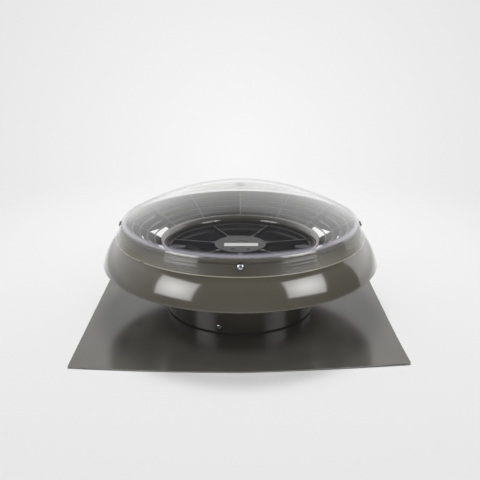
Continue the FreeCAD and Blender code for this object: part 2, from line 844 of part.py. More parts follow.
def bearing(bottom):
    """Shielded ball bearing with its shields set back a little"""
    top = bottom + bearing_width
    inner_race = bearing_bore + race_thickness
    outer_race = bearing_radius - race_thickness
    return turned_outline([
        (bearing_bore, bottom),
        (inner_race, bottom),
        (inner_race, bottom + shield_recess),
        (outer_race, bottom + shield_recess),
        (outer_race, bottom),
        (bearing_radius, bottom),
        (bearing_radius, top),
        (outer_race, top),
        (outer_race, top - shield_recess),
        (inner_race, top - shield_recess),
        (inner_race, top),
        (bearing_bore, top),
    ])


def groove_bottom():
    return upper_bearing_bottom + bearing_width + slip


def motor_shaft():
    """Shaft pressed into the rotor cup, with the circlip's groove near its top"""
    groove_top = groove_bottom() + circlip_thickness + 2 * seat
    groove_radius = shaft_radius - circlip_groove
    return turned_outline([
        (0, cup_bottom),
        (shaft_radius, cup_bottom),
        (shaft_radius, groove_bottom()),
        (groove_radius, groove_bottom()),
        (groove_radius, groove_top),
        (shaft_radius, groove_top),
        (shaft_radius, shaft_top - shaft_chamfer),
        (shaft_radius - shaft_chamfer, shaft_top),
        (0, shaft_top),
    ])


def shaft_circlip():
    """Open spring clip in the shaft's groove"""
    bottom = groove_bottom() + seat
    bore = shaft_radius - circlip_groove + running
    clip = ring(bore, circlip_radius, bottom, bottom + circlip_thickness)
    corner = Vector(0, -shaft_radius / 2, bottom - over)
    return clip.cut(Part.makeBox(2 * circlip_radius, shaft_radius, circlip_thickness + 2 * over, corner))


def preload_washer():
    """Thin spring washer between the rotor cup's boss and the lower bearing"""
    return ring(shaft_radius + running, washer_radius, cup_boss_top, cup_boss_top + washer_thickness)


def rotor_cup():
    """Steel cup that opens upwards round the stator, with a boss that grips the shaft"""
    floor_top = cup_bottom + cup_floor
    cup = turned([
        line(point(shaft_radius, cup_bottom), point(cup_radius - cup_floor, cup_bottom)),
        bow(point(cup_radius - cup_floor, cup_bottom + cup_floor), cup_floor, 270, 360),
        line(point(cup_radius, cup_bottom + cup_floor), point(cup_radius, cup_top)),
        line(point(cup_radius, cup_top), point(cup_radius - cup_wall, cup_top)),
        line(point(cup_radius - cup_wall, cup_top), point(cup_radius - cup_wall, floor_top)),
        line(point(cup_radius - cup_wall, floor_top), point(cup_boss_radius, floor_top)),
        line(point(cup_boss_radius, floor_top), point(cup_boss_radius, cup_boss_top)),
        line(point(cup_boss_radius, cup_boss_top), point(shaft_radius, cup_boss_top)),
        line(point(shaft_radius, cup_boss_top), point(shaft_radius, cup_bottom)),
    ])
    hole = Part.makeCylinder(
        small_shank + screw_clearance, cup_floor + 2 * over,
        polar(0, impeller_screw_radius, cup_bottom - over),
    )
    return cup.cut(pattern(hole, impeller_screw_count))


def rotor_magnets():
    """Ring magnet inside the rotor cup"""
    magnet_top = magnet_bottom + magnet_height
    return ring(magnet_radius - magnet_thickness, magnet_radius, magnet_bottom, magnet_top)


def blade_section(share):
    """Closed section of a blade, at a share of the way from root to tip

    It is a thin circular arc, pitched and cambered, in the plane at right angles to the radius
    through its middle. The whole plane is then turned by the blade's skew.
    """
    root = impeller_hub_bore - blade_overrun
    radius = root + share * (impeller_radius + blade_overrun - root)
    chord = blade_root_chord + share * (blade_tip_chord - blade_root_chord)
    pitch = math.radians(blade_root_pitch + share * (blade_tip_pitch - blade_root_pitch))
    along = Vector(0, math.cos(pitch), math.sin(pitch))
    across = Vector(0, -math.sin(pitch), math.cos(pitch))
    middle = Vector(radius, 0, blade_middle)
    bulge = blade_camber * chord
    half = blade_thickness / 2
    edges = []
    ends = []
    for side in (-1, 1):
        tail = middle - along * (chord / 2) + across * (side * half / 2)
        nose = middle + along * (chord / 2) + across * (side * half / 2)
        crest = middle + across * (bulge + side * half)
        edges.append(arc(tail, crest, nose))
        ends.append((tail, nose))
    lower, upper = ends
    closing = [line(lower[1], upper[1]), line(upper[0], lower[0])]
    wire = Part.Wire([edges[0], closing[0], edges[1], closing[1]])
    wire.rotate(Vector(0, 0, 0), Vector(0, 0, 1), -blade_skew * share * share)
    return wire


def impeller():
    """Axial fan wheel: a hub sleeve on the rotor cup with twisted, swept blades"""
    nose_centre = point(impeller_hub_radius - impeller_nose, impeller_bottom + impeller_nose)
    floor_top = impeller_bottom + impeller_floor
    hub = turned([
        line(point(impeller_floor_hole, impeller_bottom), point(nose_centre.x, impeller_bottom)),
        bow(nose_centre, impeller_nose, 270, 360),
        line(point(impeller_hub_radius, nose_centre.z), point(impeller_hub_radius, impeller_top)),
        line(point(impeller_hub_radius, impeller_top), point(impeller_hub_bore, impeller_top)),
        line(point(impeller_hub_bore, impeller_top), point(impeller_hub_bore, floor_top)),
        line(point(impeller_hub_bore, floor_top), point(impeller_floor_hole, floor_top)),
        line(point(impeller_floor_hole, floor_top), point(impeller_floor_hole, impeller_bottom)),
    ])
    last = blade_section_count - 1
    sections = [blade_section(index / last) for index in range(blade_section_count)]
    blade = Part.makeLoft(sections, True, False)
    sleeve_middle = impeller_hub_bore + impeller_hub_wall / 2
    blade = blade.common(ring(sleeve_middle, impeller_radius, impeller_bottom, impeller_top))
    wheel = hub.fuse(pattern(blade, blade_count))
    hole = Part.makeCylinder(
        small_shank + screw_clearance, impeller_floor + 2 * over,
        polar(0, impeller_screw_radius, impeller_bottom - over),
    )
    return wheel.cut(pattern(hole, impeller_screw_count))


def impeller_screws():
    """Screws from below through the impeller's floor into the rotor cup"""
    length = impeller_floor + slip + cup_floor - screw_tip_margin
    screw = pan_screw(small_shank, small_head, small_head_height, length, small_recess_depth)
    screw.rotate(Vector(0, 0, 0), Vector(1, 0, 0), 180)
    screw.translate(polar(0, impeller_screw_radius, impeller_bottom))
    return pattern(screw, impeller_screw_count)


def lead_grommet():
    """Rubber bush in the hub's skirt for the motor lead"""
    near = hub_radius - hub_skirt_wall
    body = radial_cylinder(grommet_azimuth, grommet_radius, grommet_height, near, near + grommet_length)
    flange = radial_cylinder(
        grommet_azimuth, grommet_radius + grommet_flange, grommet_height,
        hub_radius + seat, hub_radius + seat + grommet_flange_thickness,
    )
    far = near + grommet_length
    bore = radial_cylinder(grommet_azimuth, grommet_bore, grommet_height, near - over, far + over)
    return body.fuse(flange).cut(bore)


def upper_bearing():
    return bearing(upper_bearing_bottom)


def lower_bearing():
    return bearing(lower_bearing_bottom)


pieces = [
    flashing_plate,
    throat_tube,
    throat_screws,
    bell_mouth,
    fan_screws,
    exhaust_grille,
    grille_screws,
    cowl_shell,
    clear_dome,
    dome_seal,
    dome_screws,
    dome_washers,
    fan_housing,
    label_strip,
    hub_plug,
    stator_base,
    motor_screws,
    circuit_board,
    stator_core,
    stator_windings,
    upper_bearing,
    lower_bearing,
    motor_shaft,
    shaft_circlip,
    preload_washer,
    rotor_cup,
    rotor_magnets,
    impeller,
    impeller_screws,
    lead_grommet,
]

os.makedirs("parts", exist_ok=True)
for piece in pieces:
    made = piece()
    shape = Part.makeCompound(made) if isinstance(made, list) else made
    shape.exportStep(f"parts/{piece.__name__}.step")
    size = f"{len(shape.Solids)} solids {shape.Volume / 1000:.2f} cm3"
    print(piece.__name__, size, shape.isValid())
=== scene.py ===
"""Powered roof ventilator: looks, floor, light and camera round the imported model

Sections and places are in millimetres, radius first and height second, and turned about the fan's
axis. The origin is the middle of the flashing plate's underside, +Z is up and the front is -Y.
Azimuths are in degrees from the front, anticlockwise seen from above.
"""

import math

import bpy
import numpy as np
from mathutils import Euler, Matrix


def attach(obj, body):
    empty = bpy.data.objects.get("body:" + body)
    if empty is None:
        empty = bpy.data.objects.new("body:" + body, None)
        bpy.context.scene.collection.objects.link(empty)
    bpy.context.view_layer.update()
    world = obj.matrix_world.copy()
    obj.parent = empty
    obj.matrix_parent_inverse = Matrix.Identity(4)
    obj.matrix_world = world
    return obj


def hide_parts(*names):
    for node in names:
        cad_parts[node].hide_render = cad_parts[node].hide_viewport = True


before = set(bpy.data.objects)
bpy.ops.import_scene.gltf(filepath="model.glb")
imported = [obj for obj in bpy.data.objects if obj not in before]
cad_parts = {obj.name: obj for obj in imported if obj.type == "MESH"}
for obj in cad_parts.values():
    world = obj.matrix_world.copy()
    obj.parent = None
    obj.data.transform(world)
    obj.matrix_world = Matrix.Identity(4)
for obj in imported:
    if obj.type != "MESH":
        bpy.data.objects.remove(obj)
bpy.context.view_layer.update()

MM = 0.001
MERGE = 1e-6  # metres within which points become one

# How finely surfaces are divided
PLATE_STEPS = 26
PLATE_ANGLES = 240
CROWN_STEPS = 44
HUB_STEPS = 60
BLADE_GRID = (26, 44)
HEAD_GRID = (48, 20)

# Flashing plate
PLATE_HALF = 247.0
PLATE_SHIFT = -1.5  # how far the sheet sits to the left
PLATE_SHEET = 1.0
PLATE_CORNER = 2.0
PLATE_BEND = 126.0  # where the flat sheet turns up into the collar
COLLAR = (123.5, 124.5, 26.0)  # bore, outer radius and height
PLATE_BOW = 0.6  # how far the middle of an edge lies off the floor
PLATE_CORNERS = ((1.6, 2.6), (3.0, 3.0))  # and a corner: front left and right, back left and right
SQUARE = ((1, 1), (-1, 1), (-1, -1), (1, -1))
CORNER_POWER = 2.5  # power with which a corner's lift grows
PLATE_INSET = 2.0  # how far the middle of the front edge lies inside the square
PLATE_ROUND = (12.7, 23.0)  # how far its corners lie farther in, left and right,
ROUND_POWER = (2.0, 1.4)  # and with which powers it gets there
PLATE_ASIDE = (0.6, 1.6)  # how far those corners are moved aside

# Throat tube and bell mouth
THROAT = (124.8, 127.0, 2.8, 102.0)  # bore, outer radius, foot and top
THROAT_EDGE = 0.5
BELL_BORE = 122.0
BELL_SKIRT = 84.0  # height of the skirt's lower end
BELL_OUTSIDE = 124.5
BELL_FLANGE = (129.5, 102.0, 104.5)  # radius, underside and top
FLARE_CENTRE = (133.45, 109.55)
FLARE = (11.45, 8.95)  # radii of the flare's two faces
LIP_CENTRE = (133.45, 119.75)
LIP_ROUND = 1.25

# Cowl
COWL_CENTRE = (140.782, 64.529)
COWL_CURVE = (93.0, 90.5)  # radii of the skirt's outer and inner face
COWL_LEANS = (14.3, 43.5)  # where its arc starts and ends, in degrees
HEM_CENTRE = (228.1, 87.5)
HEM_ROUND = 2.8
HEM_INNER = 222.1
HEM_TOP = 87.2
NECK = ((204.108, 132.902), (199.057, 146.483), (196.39, 146.483), (201.943, 131.552))
NECK_DULL = (129.5, 131.0)  # heights between which the shine stops
HEM_DULL = (86.5, 89.0)  # and starts, above the hem

# Clear dome
CROWN_TOP = 213.989
CROWN_EDGE = (194.75, 158.3)  # where the crown meets the rounded shoulder
CROWN_POWER = 1.9  # the crown falls with this power of the radius
DOME_WALL = 2.0
FILLET_CENTRE = (190.44, 150.4)
FILLET = (9.0, 7.0)  # radii of the shoulder's two faces
BAND_LEAN = 20.4  # how far the band under the shoulder leans, in degrees
FOLD = ((204.3, 138.983), (202.493, 138.104))  # where the band turns out into the flange
FOLD_ROUND = 1.6
DOME_LIP = ((209.5, 130.498), (207.795, 129.453))  # the flange's edge
LIP_EDGE = 0.6
GATE = (8.2, 9.0, 0.4)  # the gate mark's floor and edge radius, and its depth
GATE_EDGE = 0.2
NOTCH = (-44.5, 1.5, 4.5)  # azimuth, half width and depth of the nick in the lip
NOTCH_WAY = (0.1, 0.85)  # shares of it that go inwards and up
NOTCH_START = 1.5  # how far beyond the fold it starts

# Clear dome's finish
ACRYLIC_IOR = 1.49
ACRYLIC_ROUGH = (0.02, 0.10)  # on the crown and on the band
ACRYLIC_WAVES = (90, 0.25)  # size and relief of soft waves, and of fine lines round the band
ACRYLIC_LINES = (4, 0.35)
ACRYLIC_TINT = "#FDFDFD"
CLEAR_HAZE = 0.008  # share of light that clear acrylic scatters
GATE_FROST = 0.80  # and that the gate's frosted mark does
# Painted glow: a pale diffuse haze on the shoulder ring and the lip's edge that stands in for light caught
# in the acrylic
RING_PAINTED_GLOW = 0.40
LIP_PAINTED_GLOW = 0.6
RING_GLOW_RADII = (189.0, 197.2)  # radii between which the shoulder's painted glow grows
RING_FOOT = (154.2, 155.4)  # and the heights at its lower edge
LIP_GLOW_INSET = (0.9, 0.6)  # how far inside the lip's edge it starts and is full
BAND_FOOT = (139.0, 139.8)  # heights where the flange's gloss goes over to the band's
BAND_TOP = (152.0, 154.5)  # and the band's to the crown's
BAND_GLOSS = (0.10, 0.50)  # share of the crown's gloss that flange and band have
BAND_FLAT = (0.07, 0.24)  # reflectances between which they gain the rest, seen ever flatter
BAND_VEIL = (0.045, 0.16, 0.32)  # reflectances between which their fine scratches show, and how much
FROST_AND_GLOW_SHADES = (  # the colour of the gate's frost and of the painted glow, at shares of the radius
    (0.0, "#4E4E52"), (0.10, "#E0DEE8"), (0.936, "#DEDBEA"), (0.950, "#D2D2C8"), (1.0, "#DDD8C8"),
)

# Ring grille
RINGS = (144.0, 156.0, 168.0, 180.0)
RING = (2.0, 8.0, 7.0)  # thickness, depth and lean outwards
RING_EDGES = (0.3, 0.6)  # how round its foot and its top are
RIB_COUNT = 12
RIB_THICKNESS = 2.4
RIB_DEPTH = (17.0, 11.0)  # at the first ring and at the rim
RIB_DROP = 0.4
RIB_FOOT = (126.5, 130.5)  # radii of its foot on the collar
RIB_HEEL = (133.45, 116.0)  # where it passes under the bell's lip
RIB_END = (191.9, 195.4)  # radii of its end at the rim, above and below
RIB_EDGE = 0.5
RIB_BEND = 1.0
GRILLE_LOW = (135.7, 120.375)  # the grille's sloping top, at the bell's lip
GRILLE_HIGH = (190.633, 151.922)  # and at the rim
GRILLE_COLLAR = (124.8, 128.3, 104.5, 110.5)  # bore, outer radius, foot and top
GRILLE_RIM = (  # the rim's section, each corner with its rounding
    (195.096, 139.922, 0.6), (197.763, 139.922, 0.6), (195.323, 146.483), (197.657, 146.483, 0.4),
    (197.657, 147.983, 0.4), (194.765, 147.983), (193.3, 151.922, 0.7), (190.633, 151.922, 0.7),
)

# Fan housing
SHROUD = (115.5, 118.5, 56.0)  # bore, outer radius and foot of the narrow part
HOUSING = (118.7, 121.7, 107.0)  # bore, outer radius and top of the wide part
HOUSING_STEP = 96.0  # where the bore widens
CONE_FOOT = 86.0  # and the outside
HUB_RADIUS = 44.0
HUB_TOP = 109.0
HUB_PLATE = 3.0
HUB_SKIRT = (41.6, 98.0)  # inner radius and lower end
HUB_FACE_END = 1.5  # how far its finely divided face stays off its rim
PLUG_RADIUS = 14.0
PLUG_GROOVE = 14.8
GROOVE_CHAMFER = 0.3
PLUG_SEAT = 107.45
PLUG_GAP = 0.1
TUBE_BORE = 11.35
ARM_COUNT = 7
ARM = (3.0, 11.0, 8.0, 11.0)  # width, root width, height and root length
ARM_BEND = 8.0
ARM_EDGE = 0.6
ARM_TOP = 108.0
ARM_OVERLAP = 1.0  # how far arms and lugs reach into the ring
LUG = (7.5, 101.0, 98.5, 104.0)  # radius, distance from the axis, underside and top
LUG_EDGE = 0.7
SLOT = (6.0, 3.6, 31.0, 24.0)  # length, width, distance from the axis and azimuth
SLOT_DEPTH = 2.6
SLOT_SOFT = 0.4  # width over which its side falls
SLOT_SKIN = 0.05  # depth of what counts as the hub's top face
LABEL = (58.0, 15.6, 0.25, 1.4, -6.0)  # length, width, thickness and place
LABEL_CORNER = 1.5
LABEL_EDGE = 0.08

# Impeller
BLADE_COUNT = 7
BLADE_SPAN = (44.8, 113.5)  # radii of its root and its tip
BLADE_CHORD = (38.0, 64.0)
BLADE_PITCH = (40.0, 21.0)
BLADE_MIDDLE = 76.0
BLADE_THICKNESS = 2.4
BLADE_CAMBER = 0.08
BLADE_NOSE = 0.6  # power of the sine that rounds its edges
BLADE_SKEW = 14.0
SLEEVE = (43.35, 46.35, 55.2, 91.0)  # bore, outer radius, foot and top
SLEEVE_FLOOR = (12.0, 57.7)  # hole radius and inner height
SLEEVE_NOSE = 5.0

# Screws: shank radius, head radius, head height and recess depth
LARGE_SCREW = (2.1, 4.4, 2.6, 1.9)
SMALL_SCREW = (1.6, 3.2, 1.8, 1.2)
SCREW_COUNT = 4
SEAT = 0.15  # gap between a head and what it holds
# A head in shares of its height and radius: its side, where its top starts, and how that falls
HEAD_SIDE, HEAD_TOP, HEAD_DROP, HEAD_POWER = 0.38, 0.97, 0.5, 2.4
CROSS = (0.13, 0.55, 0.34, 0.12)  # the recess's half width, reach, round middle and soft edge
WALL_SCREWS = (  # piece, node, sizes, shank length, wall's radius, height and azimuth
    ("throat_screw_set", "throat_screws", LARGE_SCREW, 3.0, THROAT[1], 11.5, -15),
    ("fan_screw_set", "fan_screws", LARGE_SCREW, 7.7, THROAT[1], 95.0, 15),
    ("grille_screw_set", "grille_screws", SMALL_SCREW, 5.7, GRILLE_COLLAR[1], 108.0, 45),
)
DOME_SCREW_PLACE = (202.292, 144.383)
DOME_SHANK = 8.6
WASHER = (2.3, 5.2, 0.8)  # bore, outer radius and thickness
IMPELLER_SCREW = (0, 28.0, 4.7)  # azimuth, distance from the axis and shank length
MOTOR_SCREW = (45, 33.0)
COUNTERSUNK = (  # a motor screw's section, each corner with its rounding
    (0.0, 102.6), (1.6, 102.6), (1.6, 106.4), (3.1, 108.7, 0.2), (3.1, 108.85), (1.2, 108.85, 0.2),
    (1.1, 107.6), (0.0, 107.6),
)

# Studio. Levels are the world's strengths, and x, y and z parts of a direction.
FLOOR_RADIUS = 3000.0
PAPER = ("#EAEAEA", "#EDEDED")
PAPER_GRAIN = 4
PAPER_FADE = (0.42, 1.1)  # metres from the axis between which it goes over to the backdrop
BACKDROP_GLOW = (0.0, 0.9785, -0.206)  # direction of the backdrop's brightest point
BACKDROP_REACH = 0.42  # distance from there at which it is at its dimmest
BACKDROP_LEVEL = (0.94, 0.79)
ROOM_LEFT = (-0.5, 0.92)  # y between which the mirrored room brightens, left and right
ROOM_RIGHT = (0.30, 0.34)
ROOM_SIDE = 0.75  # share of |x| that counts as depth
ROOM_TOP = (1.0, 1.5)  # rise over depth between which its wall ends
ROOM_FOOT = (-0.1, 0.1)  # z between which it goes from its lower to its upper level
ROOM_LEVEL = (0.6, 1.1)
ROOM_DARK = 0.07  # level of the rest
SOFT_LEVEL = (0.10, 0.38)  # level of the soft light, from the horizon up
# Lamps: name, azimuth, elevation, distance, size, radiance and roll, in degrees and metres
MIRRORED_LAMPS = (
    ("softbox_left", -53.4, 26.1, 1.6, (0.93, 0.88), 5.6, 6.8),
    ("softbox_right", 55.2, 28.1, 1.6, (0.96, 0.84), 5.6, -13.9),
)
UNSEEN_LAMPS = (
    ("top_light", 180.0, 66.0, 3.5, (1.3, 1.1), 26.0),
    ("over_light", 180.0, 88.0, 3.0, (1.6, 1.2), 4.9),
    ("front_fill", 0.0, 6.0, 3.0, (2.0, 1.2), 3.2),
)
LAMP_AIM = 0.12  # height that the lamps face
LAMP_MIDDLE = (1.1, 0.55)  # brightness in a lamp's middle and far from it
LAMP_REACH = 0.62  # that far, as a share of its side
LAMP_RIM = (0.42, 0.5)  # distances from the middle between which it fades
LAMP_DIM = 0.15  # to this share
CAMERA_PLACE = (-0.0005, -1.068, 0.479)
CAMERA_DIP = 18.81  # degrees that it looks down
CAMERA_LENS = (49.5, 36.0)  # focal length and sensor width
WHITE = "#FFFFFF"

# Finishes
PATCH_ROUGH = 0.55  # how much finer noise the soft patches hold
PATCH_SPAN = (0.3, 0.7)  # noise values between which the gloss drifts
DULL_ROUGH = 0.5
CUT_METAL = "#A9AAA8"
CUT_START = 0.9  # share of the half side where the cut edge may start
CUT_FACING = 0.75  # the part of the normal that points up there at most


def arc(centre, radius, first, last, steps=14):
    """Points of a circle about a centre, between two angles in degrees above the outward direction"""
    angles = np.radians(np.linspace(first, last, steps))
    return np.array(centre) + radius * np.column_stack([np.cos(angles), np.sin(angles)])


def rounded(*corners, steps=5):
    """A closed outline in which each corner (x, y, radius) becomes an arc that touches both its sides

    With unit vectors to the two neighbours and half the angle between them, the arc's centre lies on
    their bisector at radius over the sine of the half angle. An array among the corners is kept.
    """
    rows = [np.atleast_2d(c) if isinstance(c, np.ndarray) else np.array([c[:2]], float) for c in corners]
    radii = [0.0 if isinstance(c, np.ndarray) or len(c) < 3 else c[2] for c in corners]
    points = []
    for index, (row, radius) in enumerate(zip(rows, radii)):
        if radius == 0:
            points.append(row)
            continue
        here = row[0]
        back = rows[index - 1][-1] - here
        ahead = rows[(index + 1) % len(rows)][0] - here
        back = back / np.linalg.norm(back)
        ahead = ahead / np.linalg.norm(ahead)
        half = math.acos(np.clip(back @ ahead, -1, 1)) / 2
        middle = (back + ahead) / np.linalg.norm(back + ahead)
        centre = here + middle * radius / math.sin(half)
        reach = radius / math.tan(half)
        start = here + back * reach - centre
        end = here + ahead * reach - centre
        turn = math.atan2(start[0] * end[1] - start[1] * end[0], start @ end)
        angles = math.atan2(start[1], start[0]) + np.linspace(0, turn, steps)
        points.append(centre + radius * np.column_stack([np.cos(angles), np.sin(angles)]))
    return np.concatenate(points)


def anticlockwise(outline):
    """The outline in the order that has a positive area"""
    x, y = outline.T
    area = np.sum(x * np.roll(y, -1) - np.roll(x, -1) * y)
    return outline if area > 0 else outline[::-1]


def grid_faces(rows, columns, wrap_rows=False, wrap_columns=True):
    """Quads between neighbouring rows and columns of a grid of points, closed round where asked"""
    i, j = np.meshgrid(
        np.arange(rows if wrap_rows else rows - 1),
        np.arange(columns if wrap_columns else columns - 1), indexing="ij",
    )
    i_next, j_next = (i + 1) % rows, (j + 1) % columns
    corners = [i * columns + j, i * columns + j_next, i_next * columns + j_next, i_next * columns + j]
    return np.stack(corners, -1).reshape(-1, 4)


def round_angles(segments):
    """Angles that divide a full turn evenly"""
    return np.linspace(0, 2 * np.pi, segments, endpoint=False)


def swept(section, angles):
    """A section's points at each angle about the Z axis: radius times (cos, sin), and height"""
    radius, height = section.T
    level = np.tile(height, (len(angles), 1))
    return np.stack([np.outer(np.cos(angles), radius), np.outer(np.sin(angles), radius), level], -1)


def turned(outline, segments=180):
    """The surface that a closed section sweeps about the Z axis"""
    outline = anticlockwise(outline)
    faces = grid_faces(segments, len(outline), wrap_rows=True)
    return swept(outline, round_angles(segments)).reshape(-1, 3), faces[:, ::-1].tolist()


def slab(outline, bottom, top, edge, steps=4):
    """A plate: an outline stacked in height, drawn in along a quarter circle at both flat ends"""
    outline = anticlockwise(outline)
    along = np.roll(outline, -1, 0) - np.roll(outline, 1, 0)
    along /= np.linalg.norm(along, axis=1)[:, None]
    inward = np.column_stack([-along[:, 1], along[:, 0]])
    angles = np.linspace(0, np.pi / 2, steps)
    inset = edge * (1 - np.sin(angles))
    rise = edge * (1 - np.cos(angles))
    inset = np.concatenate([inset, inset[::-1]])
    height = np.concatenate([bottom + rise, top - rise[::-1]])
    flat = outline[None] + inset[:, None, None] * inward[None]
    points = np.concatenate([flat, np.broadcast_to(height[:, None, None], flat.shape[:2] + (1,))], -1)
    count = len(outline)
    faces = grid_faces(len(height), count).tolist()
    faces.append(list(range(count))[::-1])
    faces.append(list(range((len(height) - 1) * count, len(height) * count)))
    return points.reshape(-1, 3), faces


def spun(points, azimuth):
    """Points turned about the Z axis"""
    turn = math.radians(azimuth)
    x, y, z = points.T
    return np.column_stack([
        x * math.cos(turn) - y * math.sin(turn), x * math.sin(turn) + y * math.cos(turn), z,
    ])


def pattern(part, count, first=0.0):
    """Copies of one part's points and faces, spread evenly round the Z axis"""
    return joined(*[(spun(part[0], first + 360.0 * index / count), part[1]) for index in range(count)])


def joined(*parts):
    """Several parts' points and faces as one"""
    points, faces, start = [], [], 0
    for own, own_faces in parts:
        points.append(own)
        faces += [[start + corner for corner in face] for face in own_faces]
        start += len(own)
    return np.concatenate(points), faces


def laid(part, place, azimuth, tilt=0.0):
    """A part made along +Z, laid outwards at a section point and an azimuth, its outer end tilted up"""
    turn = math.radians(90 - tilt)
    x, y, z = part[0].T
    points = np.column_stack([
        x,
        y * math.cos(turn) - z * math.sin(turn) - place[0],
        y * math.sin(turn) + z * math.cos(turn) + place[1],
    ])
    return spun(points, azimuth), part[1]


def polar(azimuth, radius):
    """A point's x and y at an azimuth from the front"""
    return radius * math.sin(math.radians(azimuth)), -radius * math.cos(math.radians(azimuth))


def new_object(name, data):
    """An object in the scene"""
    made = bpy.data.objects.new(name, data)
    bpy.context.scene.collection.objects.link(made)
    return made


def piece(name, part, material, replaces=(), body="root"):
    """A finished object from points in millimetres, riding on its body, with its poles merged"""
    points, faces = part
    mesh = bpy.data.meshes.new(name)
    mesh.from_pydata((points * MM).tolist(), [], faces)
    mesh.shade_smooth()
    made = new_object(name, mesh)
    weld = made.modifiers.new("poles", "WELD")
    weld.merge_threshold = MERGE
    normals = made.modifiers.new("flats", "WEIGHTED_NORMAL")
    normals.keep_sharp = True
    mesh.materials.append(material)
    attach(made, body)
    if replaces:
        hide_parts(*replaces)
    return made


def linear(code):
    """The linear colour of an sRGB hex value"""
    share = np.array([int(code[i:i + 2], 16) for i in (1, 3, 5)]) / 255
    value = np.where(share <= 0.04045, share / 12.92, ((share + 0.055) / 1.055) ** 2.4)
    return (*value.tolist(), 1.0)


def metres(values):
    """Millimetres as metres"""
    return tuple(value * MM for value in values)


def empty_tree(owner):
    """The node tree of a material, world or lamp, with nothing in it"""
    owner.use_nodes = True
    owner.node_tree.nodes.clear()
    return owner.node_tree


def add(tree, kind, settings=None, **inputs):
    """One node with its settings and its inputs, each a value or another node's output

    An input is named in lower case with underscores, or by its number after the word socket.
    """
    node = tree.nodes.new("ShaderNode" + kind)
    for name, value in (settings or {}).items():
        setattr(node, name, value)
    for name, value in inputs.items():
        if name.startswith("socket"):
            socket = node.inputs[int(name[6:])]
        else:
            socket = next(s for s in node.inputs if s.name.lower().replace(" ", "_") == name and s.enabled)
        if isinstance(value, bpy.types.NodeSocket):
            tree.links.new(value, socket)
        else:
            socket.default_value = value
    return node


def maths(tree, operation, *values):
    """The result of one operation on one or two values"""
    sockets = {f"socket{index}": value for index, value in enumerate(values)}
    return add(tree, "Math", {"operation": operation}, **sockets).outputs[0]


def graded(tree, value, span, to=(0.0, 1.0), soft=False):
    """A value taken from one span to another and held at its ends, on a straight or a soft course"""
    course = {"interpolation_type": "SMOOTHSTEP"} if soft else {}
    return add(tree, "MapRange", course, value=value, from_min=span[0], from_max=span[1],
               to_min=to[0], to_max=to[1]).outputs[0]


def between(tree, share, first, second):
    """The value at a share of the way from one to another"""
    return add(tree, "Mix", {"data_type": "FLOAT"}, socket0=share, socket2=first, socket3=second).outputs[0]


def shade(tree, share, first, second):
    """The colour at a share of the way from one to another"""
    return add(tree, "Mix", {"data_type": "RGBA"}, socket0=share, socket6=first, socket7=second).outputs[2]


def noise(tree, place, size, detail=2.0, **settings):
    """A noise between 0 and 1 with features of about a size in millimetres"""
    return add(tree, "TexNoise", vector=place, scale=1000 / size, detail=detail, **settings).outputs[0]


def extent(tree, vector):
    """How long a vector is"""
    return add(tree, "VectorMath", {"operation": "LENGTH"}, socket0=vector).outputs["Value"]


def new_material(name):
    """A material with its empty node tree, and the place on the object that a ray meets"""
    made = bpy.data.materials.new(name)
    tree = empty_tree(made)
    return made, tree, add(tree, "TexCoord").outputs["Object"]


def finish(name, colours, gloss, patch, grain, relief, neck=False, cut_edge=False, **constants):
    """A finish whose colour and roughness drift between two values in soft patches over a fine grain

    The patch and grain sizes and the grain's relief are in millimetres. With a neck, the parts of the
    surface above the cowl's shoulder and under its hem are dull. With a cut edge, the plate's outer
    edge is bare metal where it doesn't face up.
    """
    made, tree, place = new_material(name)
    patches = noise(tree, place, patch, 4.0, roughness=PATCH_ROUGH)
    base = shade(tree, patches, linear(colours[0]), linear(colours[1]))
    roughness = graded(tree, patches, PATCH_SPAN, gloss)
    bump = add(tree, "Bump", height=noise(tree, place, grain), strength=1.0, distance=relief * MM)
    if neck:
        height = add(tree, "SeparateXYZ", vector=place).outputs[2]
        above = graded(tree, height, metres(NECK_DULL), soft=True)
        dull = maths(tree, "MAXIMUM", above, graded(tree, height, metres(HEM_DULL), (1.0, 0.0)))
        roughness = between(tree, dull, roughness, DULL_ROUGH)
        constants["coat_weight"] = maths(tree, "SUBTRACT", 1.0, dull)
    if cut_edge:
        facing = add(tree, "SeparateXYZ", vector=add(tree, "NewGeometry").outputs["Normal"]).outputs[2]
        upright = maths(tree, "LESS_THAN", facing, CUT_FACING)
        outer = maths(tree, "GREATER_THAN", extent(tree, place), CUT_START * PLATE_HALF * MM)
        base = shade(tree, maths(tree, "MULTIPLY", upright, outer), base, linear(CUT_METAL))
    shader = add(
        tree, "BsdfPrincipled", base_color=base, roughness=roughness, normal=bump.outputs[0], **constants,
    )
    add(tree, "OutputMaterial", surface=shader.outputs[0])
    return made


